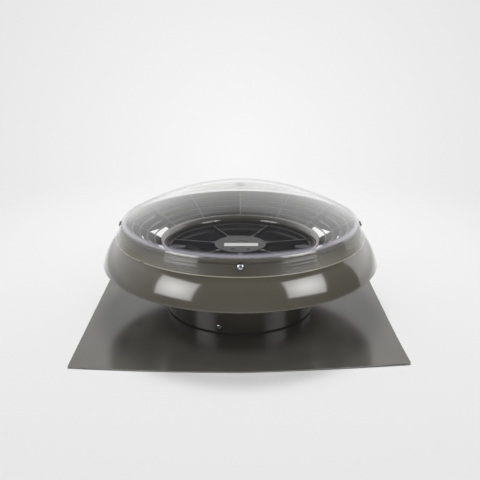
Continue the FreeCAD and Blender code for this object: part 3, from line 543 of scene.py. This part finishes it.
def clear_acrylic():
    """Clear cast acrylic: mirrors more the flatter it is seen, and lets the rest through with a faint haze

    A wall mirrors twice, at both its faces, which is counted where a ray enters it. The band under the
    shoulder and the flange are duller except where they are seen flat, with fine lines and scratches
    round them. The gate's mark is frosted. The shoulder and the lip's edge carry a pale painted glow
    that stands in for light caught in the acrylic.
    """
    made, tree, place = new_material("clear cast acrylic, polished")
    height = add(tree, "SeparateXYZ", vector=place).outputs[2]
    level = add(tree, "VectorMath", {"operation": "MULTIPLY"}, socket0=place, socket1=(1, 1, 0))
    radius = extent(tree, level.outputs[0])
    band = graded(tree, height, metres(BAND_TOP), (1.0, 0.0))

    waves = noise(tree, place, ACRYLIC_WAVES[0], 1.0)
    bump = add(tree, "Bump", height=waves, strength=1.0, distance=ACRYLIC_WAVES[1] * MM)
    lines = noise(tree, add(tree, "CombineXYZ", socket2=height).outputs[0], ACRYLIC_LINES[0])
    bump = add(tree, "Bump", height=lines, strength=band, distance=ACRYLIC_LINES[1] * MM,
               normal=bump.outputs[0]).outputs[0]

    single = add(tree, "Fresnel", ior=ACRYLIC_IOR, normal=bump).outputs[0]
    both = maths(tree, "DIVIDE", maths(tree, "MULTIPLY", single, 2.0), maths(tree, "ADD", single, 1.0))
    foot = graded(tree, height, metres(BAND_FOOT), BAND_GLOSS)
    dull = between(tree, graded(tree, single, BAND_FLAT, soft=True), foot, 1.0)
    share = maths(tree, "MULTIPLY", both, between(tree, band, 1.0, dull))
    front = maths(tree, "SUBTRACT", 1.0, add(tree, "NewGeometry").outputs["Backfacing"])
    share = maths(tree, "MULTIPLY", share, front)

    # The gate's mark is frosted; the ring and lip masks paint a pale glow that stands in for light caught
    # in the acrylic
    edge = DOME_LIP[0][0]
    gate = graded(tree, radius, metres(GATE[:2]), (GATE_FROST, CLEAR_HAZE))
    rise = graded(tree, radius, metres(RING_GLOW_RADII), (0.0, RING_PAINTED_GLOW), soft=True)
    ring = maths(tree, "MULTIPLY", rise, graded(tree, height, metres(RING_FOOT)))
    lip = graded(tree, radius, metres((edge - LIP_GLOW_INSET[0], edge - LIP_GLOW_INSET[1])), (0.0, LIP_PAINTED_GLOW))
    veil = graded(tree, single, BAND_VEIL[:2], (0.0, BAND_VEIL[2]), soft=True)
    veil = maths(tree, "MULTIPLY", veil, band)
    frost_and_glow = maths(tree, "MAXIMUM", maths(tree, "MAXIMUM", gate, ring), maths(tree, "MAXIMUM", lip, veil))
    outward = add(tree, "ValToRGB", fac=graded(tree, radius, (0.0, edge * MM)))
    shades = outward.color_ramp.elements
    shades[0].color, shades[1].color = linear(FROST_AND_GLOW_SHADES[0][1]), linear(FROST_AND_GLOW_SHADES[-1][1])
    for at, colour in FROST_AND_GLOW_SHADES[1:-1]:
        shades.new(at).color = linear(colour)

    through = add(tree, "BsdfTransparent", color=linear(ACRYLIC_TINT))
    haze = add(tree, "BsdfDiffuse", color=outward.outputs[0])
    body = add(tree, "MixShader", fac=frost_and_glow, socket1=through.outputs[0], socket2=haze.outputs[0])
    rough = graded(tree, band, (0.0, 1.0), ACRYLIC_ROUGH)
    mirror = add(tree, "BsdfGlossy", color=linear(WHITE), roughness=rough, normal=bump)
    wall = add(tree, "MixShader", fac=share, socket1=body.outputs[0], socket2=mirror.outputs[0])
    add(tree, "OutputMaterial", surface=wall.outputs[0])
    return made


# Gloss plastic: a hard clear shine over a warm grey-brown body, with a faint mould ripple
cowl_plastic = finish(
    "gloss moulded ASA, grey-brown", ("#686459", "#706C61"), (0.09, 0.15), 60, 9, 0.006,
    ior=1.55, coat_weight=1.0, coat_roughness=0.04, coat_ior=1.5, neck=True,
)
# A darker one: its thinner shine draws narrow highlights along the bell's lip
duct_plastic = finish(
    "gloss moulded ABS, grey-brown", ("#4C4941", "#545147"), (0.10, 0.18), 40, 5, 0.006,
    ior=1.53, coat_weight=0.6, coat_roughness=0.04, coat_ior=1.5,
)
# Satin plastic: a broad sheen over a fine eroded texture, without clear reflections
grille_plastic = finish(
    "satin moulded ABS, warm grey", ("#54524D", "#5C5953"), (0.30, 0.42), 30, 1.2, 0.012, ior=1.53,
)
# The same in the cowl's paler colour, seen through the dome's band
rim_plastic = finish(
    "satin moulded ABS, grey-brown", ("#6B675B", "#736F63"), (0.30, 0.42), 30, 1.2, 0.012, ior=1.53,
)
# Glass-filled nylon: dull, with a fine pale fleck from the fibres
fan_plastic = finish(
    "satin glass-filled nylon, dark grey", ("#413F40", "#4C4A4B"), (0.40, 0.55), 18, 0.9, 0.02, ior=1.53,
)
# The same in black, duller, so that the blades stay shapes in the dark
impeller_plastic = finish(
    "satin glass-filled nylon, black", ("#131314", "#1A1A1A"), (0.50, 0.65), 20, 0.9, 0.02, ior=1.53,
)
# Powder coat: a satin sheen over the sheet, and pale metal at its cut edge
plate_paint = finish(
    "satin powder coat on sheet steel", ("#575650", "#5E5C57"), (0.13, 0.19), 70, 0.8, 0.006,
    ior=1.5, cut_edge=True,
)
# Stoved paint: dark, with soft upright streaks where the tube mirrors the lamps
throat_paint = finish(
    "gloss stoved paint on sheet steel", ("#45423D", "#4C4A45"), (0.17, 0.23), 45, 3, 0.004, ior=1.52,
    coat_weight=0.8, coat_roughness=0.14, coat_ior=1.5,
)
# Vinyl: an even off-white with a weak sheen
label_film = finish("white vinyl film", ("#D6D5D2", "#DEDDDB"), (0.30, 0.40), 12, 1.0, 0.004, ior=1.5)
# Zinc plate: cold and bright, with a sparkle on the rim and in the recess
zinc_plate = finish(
    "bright zinc plate on steel", ("#C2C6CA", "#D8DBDD"), (0.20, 0.34), 3, 0.5, 0.006, metallic=1.0,
)
# The same, greyer and softer: darkened as painted shade for the throat screws under the cowl
shade_darkened_zinc = finish(
    "zinc plate on steel, gone dull", ("#9A9EA2", "#AEB2B5"), (0.24, 0.36), 3, 0.5, 0.006, metallic=1.0,
)
# Rubber: black without a highlight
black_rubber = finish(
    "moulded black rubber, matt", ("#161617", "#202022"), (0.65, 0.80), 6, 0.8, 0.02, ior=1.5,
)
# Silicone: milky, in the grey-brown of what it lies on
seal_silicone = finish(
    "translucent silicone strip", ("#6E6A60", "#787469"), (0.40, 0.55), 15, 1.2, 0.01, ior=1.42,
)
# Die casting: pale and cloudy, with a rough skin
cast_aluminium = finish(
    "die-cast aluminium, bare", ("#B4B6B8", "#C6C8C9"), (0.34, 0.50), 12, 1.0, 0.03, metallic=1.0,
)
# Laminate: deep green under a smooth resin
circuit_laminate = finish(
    "green glass laminate", ("#14402A", "#1B5236"), (0.25, 0.40), 9, 1.0, 0.01, ior=1.55,
)
# Laminations: dark metal with a finely rough edge
electrical_steel = finish(
    "stacked electrical steel, lacquered", ("#6E7277", "#83878B"), (0.35, 0.50), 8, 0.5, 0.03, metallic=1.0,
)
# Wire: warm red metal in a deep, close relief
copper_wire = finish(
    "enamelled copper wire", ("#A85A2C", "#C47A45"), (0.22, 0.38), 4, 0.8, 0.15, metallic=1.0,
)
# Ground steel: bright and nearly smooth
bearing_steel = finish(
    "ground bearing steel", ("#C0C3C6", "#D2D4D6"), (0.14, 0.24), 5, 0.5, 0.003, metallic=1.0,
)
# Plated pressing: mid-grey in large soft patches
pressed_steel = finish(
    "zinc plated pressed steel", ("#A3A7AA", "#B9BCBE"), (0.26, 0.40), 14, 0.8, 0.008, metallic=1.0,
)
# Ferrite: nearly black, matt and stony
ferrite = finish("sintered ferrite, matt", ("#2C2C2E", "#39393B"), (0.60, 0.75), 5, 0.6, 0.03, ior=1.6)
acrylic = clear_acrylic()

CAD_FINISHES = (
    (bearing_steel, ("lower_bearing", "motor_shaft", "preload_washer", "shaft_circlip", "upper_bearing")),
    (black_rubber, ("lead_grommet",)),
    (cast_aluminium, ("stator_base",)),
    (circuit_laminate, ("circuit_board",)),
    (copper_wire, ("stator_windings",)),
    (electrical_steel, ("stator_core",)),
    (ferrite, ("rotor_magnets",)),
    (pressed_steel, ("rotor_cup",)),
    (seal_silicone, ("dome_seal",)),
)


def dress_cad_nodes():
    """Each node that keeps its own shape gets its finish in every material slot"""
    for material, names in CAD_FINISHES:
        for name in names:
            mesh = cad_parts[name].data
            if not mesh.materials:
                mesh.materials.append(material)
            for index in range(len(mesh.materials)):
                mesh.materials[index] = material


def flashing_plate():
    """Thin sheet from a collar out to a square edge, with its corners a little off the floor

    A closed section runs up the collar, out along the top, round the edge and back underneath. Beyond
    the bend its radius is stretched to the square's. With x and y as shares of the half side, it is
    lifted by the fourth powers of both and, towards each corner, by a power of their product. Its
    front edge is drawn in by a power of x, and its front corners are moved aside by y's fourth.
    """
    inner, outer, top = COLLAR
    bend = PLATE_BEND - outer
    half_sheet = PLATE_SHEET / 2
    reach = np.linspace(PLATE_BEND, PLATE_HALF - half_sheet, PLATE_STEPS)
    section = np.concatenate([
        [[inner, top], [inner, bend + PLATE_SHEET]],
        arc((PLATE_BEND, bend + PLATE_SHEET), bend + PLATE_SHEET, 180, 270, steps=8),
        np.column_stack([reach[1:], np.zeros(len(reach) - 1)]),
        arc((PLATE_HALF - half_sheet, half_sheet), half_sheet, -90, 90, steps=7)[1:-1],
        np.column_stack([reach[:0:-1], np.full(len(reach) - 1, PLATE_SHEET)]),
        arc((PLATE_BEND, bend + PLATE_SHEET), bend, 270, 180, steps=8),
        [[outer, top]],
    ])
    section = anticlockwise(section)
    square = rounded(*[
        (x * PLATE_HALF, y * PLATE_HALF, PLATE_CORNER) for x, y in SQUARE
    ])
    turns = np.arctan2(square[:, 1], square[:, 0])
    angles = np.linspace(-np.pi, np.pi, PLATE_ANGLES, endpoint=False)
    angles = np.unique(np.concatenate([turns, angles]))
    order = np.argsort(turns)
    straight = PLATE_HALF / np.maximum(abs(np.cos(angles)), abs(np.sin(angles)))
    near_corner = np.interp(angles, turns[order], np.hypot(*square[order].T))
    corner_start = math.atan2(PLATE_HALF - PLATE_CORNER, PLATE_HALF)
    folded = np.abs((angles + np.pi) % (np.pi / 2) - np.pi / 4)
    edge = np.where(folded < np.pi / 4 - corner_start, near_corner, straight)
    radius = section[:, 0][None]
    share = np.clip((radius - PLATE_BEND) / (PLATE_HALF - PLATE_BEND), 0, 1)
    radius = radius + share * (edge[:, None] - PLATE_HALF)
    x = np.cos(angles)[:, None] * radius
    y = np.sin(angles)[:, None] * radius
    across, along = x / PLATE_HALF, y / PLATE_HALF
    front, back = [low + (high - low) * (1 + across) / 2 for low, high in PLATE_CORNERS]
    corner = front + (back - front) * (1 + along) / 2
    lift = PLATE_BOW * (across ** 4 + along ** 4 - (across * along) ** 4)
    lift = lift + (corner - PLATE_BOW) * abs(across * along) ** CORNER_POWER
    z = section[:, 1][None] + lift * share
    left, right = [depth * abs(across) ** power for depth, power in zip(PLATE_ROUND, ROUND_POWER)]
    drawn = np.where(across < 0, left, right)
    aside = np.where(across < 0, -PLATE_ASIDE[0] * across, PLATE_ASIDE[1] * across)
    x = x + share * aside * np.clip(-along, 0, 1) ** 4
    y = y + share * np.clip(-along, 0, 1) * (PLATE_INSET + drawn)
    points = np.stack([x + PLATE_SHIFT * share, y, z], -1).reshape(-1, 3)
    faces = grid_faces(len(angles), len(section), wrap_rows=True)[:, ::-1].tolist()
    piece("flashing_plate_sheet", (points, faces), plate_paint, ["flashing_plate"])


def tube(inner, outer, low, high, low_edge, high_edge):
    """The section of a plain tube, its ends rounded by the two edges' radii"""
    return rounded(
        (inner, low, low_edge), (outer, low, low_edge), (outer, high, high_edge), (inner, high, high_edge),
    )


def throat_tube():
    """Plain tube with softly rounded ends"""
    wall = turned(tube(*THROAT, THROAT_EDGE, THROAT_EDGE))
    piece("throat_tube_wall", wall, throat_paint, ["throat_tube"])


def bell_mouth():
    """Skirt, foot flange and a flare of two quarter arcs that ends in a rounded lip"""
    flange, flange_low, flange_high = BELL_FLANGE
    outline = rounded(
        (BELL_BORE, BELL_SKIRT, 0.6),
        arc(FLARE_CENTRE, FLARE[0], 180, 90, steps=22),
        arc(LIP_CENTRE, LIP_ROUND, 90, -90, steps=9),
        arc(FLARE_CENTRE, FLARE[1], 90, 180, steps=18),
        (BELL_OUTSIDE, flange_high, 0.8),
        (flange, flange_high, 0.7),
        (flange, flange_low, 0.7),
        (BELL_OUTSIDE, flange_low),
        (BELL_OUTSIDE, BELL_SKIRT, 0.6),
    )
    piece("bell_mouth_flare", turned(outline), duct_plastic, ["bell_mouth"])


def cowl():
    """Skirt arc, straight shoulder and leaning neck, with a rolled-in hem"""
    hem_low = HEM_CENTRE[1] - HEM_ROUND
    outline = rounded(
        (HEM_INNER, hem_low, 0.7),
        arc(HEM_CENTRE, HEM_ROUND, -90, 0, steps=8),
        arc(COWL_CENTRE, COWL_CURVE[0], *COWL_LEANS, steps=24),
        NECK[0], (*NECK[1], 0.8), (*NECK[2], 0.8), NECK[3],
        arc(COWL_CENTRE, COWL_CURVE[1], *COWL_LEANS[::-1], steps=20),
        (HEM_INNER, HEM_TOP, 0.7),
    )
    piece("cowl_hood", turned(outline, segments=240), cowl_plastic, ["cowl_shell"])


def clear_dome():
    """Shallow crown, rounded shoulder, leaning band and wider flange, with the gate's mark on top

    The crown's height falls with a power of the radius, and its inner face lies one wall in along the
    normal. The lip is nicked at one place.
    """
    edge, foot = CROWN_EDGE
    drop = CROWN_TOP - foot
    radius = np.linspace(GATE[1], edge, CROWN_STEPS)
    height = CROWN_TOP - drop * (radius / edge) ** CROWN_POWER
    slope = drop * CROWN_POWER / edge * (radius / edge) ** (CROWN_POWER - 1)
    normal = np.column_stack([slope, np.ones(len(slope))]) / np.hypot(slope, 1)[:, None]
    crown = np.column_stack([radius, height])
    lean = math.degrees(math.atan2(normal[-1, 1], normal[-1, 0]))
    outline = rounded(
        (0.0, CROWN_TOP - GATE[2]),
        (GATE[0], CROWN_TOP - GATE[2], GATE_EDGE),
        crown,
        arc(FILLET_CENTRE, FILLET[0], lean, BAND_LEAN)[1:],
        (*FOLD[0], FOLD_ROUND),
        (*DOME_LIP[0], LIP_EDGE), (*DOME_LIP[1], LIP_EDGE),
        (*FOLD[1], FOLD_ROUND),
        arc(FILLET_CENTRE, FILLET[1], BAND_LEAN, lean)[:-1],
        (crown - DOME_WALL * normal)[::-1],
        (0.0, CROWN_TOP - DOME_WALL),
    )
    points, faces = turned(outline, segments=480)
    azimuth, width, depth = NOTCH
    aside = np.degrees(np.arctan2(points[:, 0], -points[:, 1])) - azimuth
    on_lip = np.hypot(points[:, 0], points[:, 1]) > FOLD[0][0] + NOTCH_START
    nick = depth * np.clip(1 - abs(aside) / width, 0, 1) * on_lip
    points[:, 2] += nick * NOTCH_WAY[1]
    points[:, :2] *= 1 - (nick * NOTCH_WAY[0] / DOME_LIP[0][0])[:, None]
    piece("clear_dome_cap", (points, faces), acrylic, ["clear_dome"])


def grille_height(radius):
    """Height of the grille's sloping top line at a radius"""
    slope = (GRILLE_HIGH[1] - GRILLE_LOW[1]) / (GRILLE_HIGH[0] - GRILLE_LOW[0])
    return GRILLE_LOW[1] + slope * (radius - GRILLE_LOW[0])


def exhaust_grille():
    """Louvre rings, radial ribs, the collar on the bell mouth and the rim that carries the dome"""
    thickness, depth, lean = RING
    rings = []
    for radius in RINGS:
        low, high = grille_height(radius) - depth, grille_height(radius)
        inner, outer = radius - thickness / 2, radius + thickness / 2
        rings.append(turned(rounded(
            (inner + lean, low, RING_EDGES[0]), (outer + lean, low, RING_EDGES[0]),
            (outer, high, RING_EDGES[1]), (inner, high, RING_EDGES[1]),
        )))
    piece("grille_rings", joined(*rings), grille_plastic, ["exhaust_grille"])

    rim = joined(turned(rounded(*GRILLE_RIM)), turned(tube(*GRILLE_COLLAR, 0.4, 0.6)))
    piece("grille_rim", rim, rim_plastic)

    low, high = GRILLE_COLLAR[2:]
    first = RINGS[0]
    top = GRILLE_HIGH[1] - RIB_DROP
    side = rounded(
        (RIB_FOOT[0], low), (RIB_FOOT[0], high), RIB_HEEL,
        (GRILLE_LOW[0], GRILLE_LOW[1] - RIB_DROP),
        (RIB_END[0], top), (RIB_END[1], top - RIB_DEPTH[1]),
        (first, grille_height(first) - RIB_DROP - RIB_DEPTH[0], RIB_BEND), (RIB_FOOT[1], low),
    )
    points, faces = slab(side, -RIB_THICKNESS / 2, RIB_THICKNESS / 2, RIB_EDGE)
    rib = (np.column_stack([points[:, 0], -points[:, 2], points[:, 1]]), faces)
    piece("grille_ribs", pattern(rib, RIB_COUNT), grille_plastic)


def fan_housing():
    """Stepped ring round the impeller, straight arms, hub plate and the two lugs

    The hub's top face dips inside each slot's rectangle.
    """
    outline = rounded(
        (SHROUD[0], SHROUD[2], 0.6), (SHROUD[1], SHROUD[2], 0.6), (SHROUD[1], CONE_FOOT, 1.5),
        (HOUSING[1], CONE_FOOT + HOUSING[1] - SHROUD[1], 1.5), (HOUSING[1], HOUSING[2], 1.0),
        (HOUSING[0], HOUSING[2], 1.0), (HOUSING[0], HOUSING_STEP + HOUSING[0] - SHROUD[0], 1.2),
        (SHROUD[0], HOUSING_STEP, 1.5),
    )
    piece("fan_housing_ring", turned(outline), fan_plastic, ["fan_housing"])

    underside = HUB_TOP - HUB_PLATE
    face = np.linspace(PLUG_GROOVE + GROOVE_CHAMFER, HUB_RADIUS - HUB_FACE_END, HUB_STEPS)
    hub = rounded(
        np.column_stack([face, np.full(len(face), HUB_TOP)]),
        (HUB_RADIUS, HUB_TOP, 1.0), (HUB_RADIUS, HUB_SKIRT[1], 0.6),
        (HUB_SKIRT[0], HUB_SKIRT[1], 0.6), (HUB_SKIRT[0], underside, 0.8), (TUBE_BORE, underside),
        (TUBE_BORE, PLUG_SEAT), (PLUG_GROOVE, PLUG_SEAT), (PLUG_GROOVE, HUB_TOP - GROOVE_CHAMFER),
    )
    points, faces = turned(hub, segments=540)
    length, width, middle, azimuth = SLOT
    for side in (-1, 1):
        x, y = polar(side * azimuth, middle)
        beyond = np.maximum(abs(points[:, 0] - x) - length / 2, abs(points[:, 1] - y) - width / 2)
        inside = np.clip(0.5 - beyond / SLOT_SOFT, 0, 1) * (points[:, 2] > HUB_TOP - SLOT_SKIN)
        points[:, 2] -= SLOT_DEPTH * inside
    piece("fan_hub_plate", (points, faces), fan_plastic)

    width, root_width, height, root_length = ARM
    root = (HUB_RADIUS + HUB_SKIRT[0]) / 2
    end = HOUSING[0] + ARM_OVERLAP
    arm = rounded(
        (root, -root_width / 2), (root + root_length, -width / 2, ARM_BEND), (end, -width / 2),
        (end, width / 2), (root + root_length, width / 2, ARM_BEND), (root, root_width / 2),
    )
    arms = pattern(slab(arm, ARM_TOP - height, ARM_TOP, ARM_EDGE), ARM_COUNT, -90)
    piece("fan_arms", arms, fan_plastic)

    radius, reach, low, high = LUG
    lug = rounded(arc((reach, 0.0), radius, 90, 270, steps=24), (end, -radius), (end, radius))
    lugs = pattern(slab(lug, low, high, LUG_EDGE), 2)
    piece("housing_lugs", lugs, fan_plastic)


def hub_trim():
    """The plug in the hub's middle and the bare label across it"""
    low, high = PLUG_SEAT + PLUG_GAP, HUB_TOP - PLUG_GAP
    plug = rounded((0.0, low), (PLUG_RADIUS, low, 0.3), (PLUG_RADIUS, high, 0.5), (0.0, high))
    piece("hub_plug_disc", turned(plug, segments=96), fan_plastic, ["hub_plug"])
    length, width, thickness, shift_x, shift_y = LABEL
    corners = [(shift_x + x * length / 2, shift_y + y * width / 2, LABEL_CORNER) for x, y in SQUARE]
    label = slab(rounded(*corners), HUB_TOP, HUB_TOP + thickness, LABEL_EDGE)
    piece("label_film_strip", label, label_film, ["label_strip"])


def blade():
    """A twisted, cambered blade wrapped on cylinders

    At each radius the section is a loop: it runs along the chord as minus the cosine of its parameter,
    bulges by the camber as one minus the chord's square, and is as thick as a power of the sine. Its
    tangential part is wrapped round the cylinder, which turns back by the skew times the span squared.
    """
    rows, columns = BLADE_GRID
    span = np.linspace(0, 1, rows)[:, None]
    turn = round_angles(columns)[None]
    radius = BLADE_SPAN[0] + span * (BLADE_SPAN[1] - BLADE_SPAN[0])
    chord = BLADE_CHORD[0] + span * (BLADE_CHORD[1] - BLADE_CHORD[0])
    pitch = np.radians(BLADE_PITCH[0] + span * (BLADE_PITCH[1] - BLADE_PITCH[0]))
    place = -np.cos(turn)
    along = chord / 2 * place
    bulge = BLADE_CAMBER * chord * (1 - place ** 2)
    across = bulge + np.sign(np.sin(turn)) * BLADE_THICKNESS / 2 * np.abs(np.sin(turn)) ** BLADE_NOSE
    sideways = along * np.cos(pitch) - across * np.sin(pitch)
    up = along * np.sin(pitch) + across * np.cos(pitch)
    angle = sideways / radius - np.radians(BLADE_SKEW) * span ** 2
    points = np.stack([radius * np.cos(angle), radius * np.sin(angle), BLADE_MIDDLE + up], -1)
    faces = grid_faces(rows, columns)[:, ::-1].tolist()
    faces.append(list(range(columns)))
    faces.append(list(range((rows - 1) * columns, rows * columns))[::-1])
    return points.reshape(-1, 3), faces


def impeller():
    """Sleeve on the rotor cup with its floor, and the blades"""
    inner, outer, low, high = SLEEVE
    hole, floor = SLEEVE_FLOOR
    outline = rounded(
        (hole, low, 0.4), (outer, low, SLEEVE_NOSE), (outer, high, 0.8), (inner, high, 0.8),
        (inner, floor, 0.6), (hole, floor, 0.4),
    )
    piece("impeller_sleeve", turned(outline), impeller_plastic, ["impeller"], "rotor")
    blades = pattern(blade(), BLADE_COUNT)
    piece("impeller_blades", blades, impeller_plastic, body="rotor")


def pan_screw(sizes, length):
    """A screw along +Z: shank, washer-faced head with a domed top and a cross recess

    The head's height falls with a power of the radius. It drops smoothly by the recess depth in the
    cross, where the smaller of |x| and |y| is under the blade's half width, and in a round middle.
    """
    shank, head, height, recess = sizes
    blade_half, reach, middle, soft = [head * share for share in CROSS]
    segments, rings = HEAD_GRID
    radius = np.linspace(1, 0, rings + 1)
    angles = round_angles(segments)
    x = np.outer(np.cos(angles), head * radius * HEAD_TOP)
    y = np.outer(np.sin(angles), head * radius * HEAD_TOP)
    dome = height - height * HEAD_DROP * (radius[None] ** HEAD_POWER)
    narrow = np.minimum(abs(x), abs(y)) - blade_half
    wide = np.maximum(abs(x), abs(y)) - reach
    beyond = np.minimum(np.maximum(narrow, wide), np.hypot(x, y) - middle)
    depth = np.clip(0.5 - beyond / soft, 0, 1)
    z = dome - recess * depth * depth * (3 - 2 * depth)
    side = np.array([
        [0.0, -length], [shank, -length], [shank, 0.0], [head, 0.0], [head, height * HEAD_SIDE],
    ])
    points = np.concatenate([swept(side, angles), np.stack([x, y, z], -1)], 1)
    faces = grid_faces(segments, points.shape[1], wrap_rows=True, wrap_columns=False)[:, ::-1].tolist()
    return points.reshape(-1, 3), faces


def screw_set(name, screw, node, body="root", material=zinc_plate):
    """One screw and its copies round the axis as one piece"""
    piece(name, pattern(screw, SCREW_COUNT), material, [node], body)


def screws():
    """All the screws and the dome screws' washers, each set as one piece"""
    for name, node, sizes, length, wall, height, azimuth in WALL_SCREWS:
        screw = laid(pan_screw(sizes, length), (wall + SEAT, height), azimuth)
        # The throat screws take the darker zinc, painted shade for their place under the cowl
        screw_set(name, screw, node, material=shade_darkened_zinc if node == "throat_screws" else zinc_plate)

    bore, edge, thickness = WASHER
    lean = math.radians(BAND_LEAN)
    lift = SEAT + thickness
    place = (DOME_SCREW_PLACE[0] + lift * math.cos(lean), DOME_SCREW_PLACE[1] + lift * math.sin(lean))
    screw = laid(pan_screw(LARGE_SCREW, DOME_SHANK), place, 0, BAND_LEAN)
    screw_set("dome_screw_set", screw, "dome_screws")
    washer = rounded((bore, SEAT, 0.15), (edge, SEAT, 0.3), (edge, lift, 0.35), (bore, lift, 0.15))
    washers = pattern(laid(turned(washer, segments=48), DOME_SCREW_PLACE, 0, BAND_LEAN), SCREW_COUNT)
    piece("dome_washer_set", washers, black_rubber, ["dome_washers"])

    azimuth, distance, length = IMPELLER_SCREW
    points, faces = pan_screw(SMALL_SCREW, length)
    points = np.column_stack([points[:, 0], -points[:, 1], -points[:, 2]])
    below = (points + np.array([*polar(azimuth, distance), SLEEVE[2]]), faces)
    screw_set("impeller_screw_set", below, "impeller_screws", "rotor")
    points, faces = turned(rounded(*COUNTERSUNK), segments=40)
    flush = (points + np.array([*polar(*MOTOR_SCREW), 0.0]), faces)
    screw_set("motor_screw_set", flush, "motor_screws")


def floor():
    """Pale paper that fades into the backdrop: a flat disc with a fine mottle"""
    segments = 96
    angles = round_angles(segments)
    rim = np.column_stack([np.cos(angles), np.sin(angles), np.zeros(segments)]) * FLOOR_RADIUS
    mesh = bpy.data.meshes.new("floor")
    mesh.from_pydata((rim * MM).tolist(), [], [list(range(segments))])
    new_object("floor", mesh)

    paper, tree, place = new_material("seamless paper, pale")
    fade = graded(tree, extent(tree, place), PAPER_FADE, soft=True)
    colour = shade(tree, noise(tree, place, PAPER_GRAIN), linear(PAPER[0]), linear(PAPER[1]))
    sheet = add(tree, "BsdfDiffuse", color=colour)
    beyond = add(tree, "BsdfTransparent")
    faded = add(tree, "MixShader", fac=fade, socket1=sheet.outputs[0], socket2=beyond.outputs[0])
    add(tree, "OutputMaterial", surface=faded.outputs[0])
    mesh.materials.append(paper)


def backdrop():
    """The world: a pale backdrop for the camera, a bright wall behind for mirrors, and soft light

    The backdrop dims with the distance from its glow. The wall starts at one depth on the left and at
    another on the right, ends where the rise over the depth gets steep, and is brighter above.
    """
    world = bpy.data.worlds.new("studio")
    bpy.context.scene.world = world
    tree = empty_tree(world)
    way = add(tree, "TexCoord").outputs["Generated"]
    x, y, z = add(tree, "SeparateXYZ", vector=way).outputs
    aside = add(tree, "VectorMath", {"operation": "DISTANCE"}, socket0=way, socket1=BACKDROP_GLOW)
    paper = graded(tree, aside.outputs["Value"], (0.0, BACKDROP_REACH), BACKDROP_LEVEL)

    left = graded(tree, y, ROOM_LEFT)
    right = graded(tree, y, ROOM_RIGHT, soft=True)
    behind = between(tree, maths(tree, "GREATER_THAN", x, 0.0), left, right)
    sideways = maths(tree, "MULTIPLY", maths(tree, "ABSOLUTE", x), ROOM_SIDE)
    steep = maths(tree, "DIVIDE", z, maths(tree, "MAXIMUM", y, sideways))
    wall = maths(tree, "MULTIPLY", behind, graded(tree, steep, ROOM_TOP, (1.0, 0.0), soft=True))
    wall = maths(tree, "MULTIPLY", wall, graded(tree, z, ROOM_FOOT, ROOM_LEVEL))
    mirrored = maths(tree, "ADD", wall, ROOM_DARK)

    rays = add(tree, "LightPath").outputs
    soft = between(tree, rays["Is Glossy Ray"], graded(tree, z, (0.0, 1.0), SOFT_LEVEL), mirrored)
    seen = maths(tree, "MAXIMUM", rays["Is Camera Ray"], rays["Is Transmission Ray"])
    light = add(tree, "Background", color=linear(WHITE), strength=between(tree, seen, soft, paper))
    add(tree, "OutputWorld", surface=light.outputs[0])


def lamps():
    """Two softboxes that only mirrors show, and three lamps that they don't"""
    for settings in MIRRORED_LAMPS:
        lamp(*settings).visible_diffuse = False
    for settings in UNSEEN_LAMPS:
        lamp(*settings).visible_glossy = False


def lamp(name, azimuth, elevation, distance, size, radiance, roll=0.0):
    """A rectangular lamp that faces the object, out of the camera's sight

    It's brightest in the middle, falls with the distance from it and fades at its edges.
    """
    light = bpy.data.lights.new(name, "AREA")
    tree = empty_tree(light)
    spot = add(tree, "NewGeometry").outputs["Parametric"]
    offset = add(tree, "VectorMath", {"operation": "SUBTRACT"}, socket0=spot, socket1=(0.5, 0.5, 0.0))
    aside = add(tree, "VectorMath", {"operation": "ABSOLUTE"}, socket0=offset.outputs[0])
    across, up, _ = add(tree, "SeparateXYZ", vector=aside.outputs[0]).outputs
    far = extent(tree, add(tree, "CombineXYZ", socket0=across, socket1=up).outputs[0])
    hot = graded(tree, far, (0.0, LAMP_REACH), LAMP_MIDDLE, soft=True)
    rim = graded(tree, maths(tree, "MAXIMUM", across, up), LAMP_RIM, (1.0, LAMP_DIM), soft=True)
    glow = add(tree, "Emission", color=linear(WHITE), strength=maths(tree, "MULTIPLY", hot, rim))
    add(tree, "OutputLight", surface=glow.outputs[0])
    light.shape = "RECTANGLE"
    light.size, light.size_y = size
    light.energy = radiance * math.pi * size[0] * size[1]
    made = new_object(name, light)
    turn, rise = math.radians(azimuth), math.radians(elevation)
    made.location = (
        distance * math.cos(rise) * math.sin(turn),
        -distance * math.cos(rise) * math.cos(turn),
        LAMP_AIM + distance * math.sin(rise),
    )
    facing = Euler((math.pi / 2 - rise, 0, turn)).to_matrix() @ Matrix.Rotation(math.radians(roll), 3, "Z")
    made.rotation_euler = facing.to_euler()
    made.visible_camera = False
    return made


def camera():
    """The camera, level from side to side and dipped towards the object"""
    lens = bpy.data.cameras.new("camera")
    lens.lens, lens.sensor_width = CAMERA_LENS
    made = new_object("camera", lens)
    made.location = CAMERA_PLACE
    made.rotation_euler = (math.radians(90 - CAMERA_DIP), 0, 0)
    bpy.context.scene.camera = made
    bpy.context.scene.view_settings.view_transform = "Standard"


dress_cad_nodes()
flashing_plate()
throat_tube()
bell_mouth()
cowl()
clear_dome()
exhaust_grille()
fan_housing()
hub_trim()
impeller()
screws()
floor()
backdrop()
lamps()
camera()
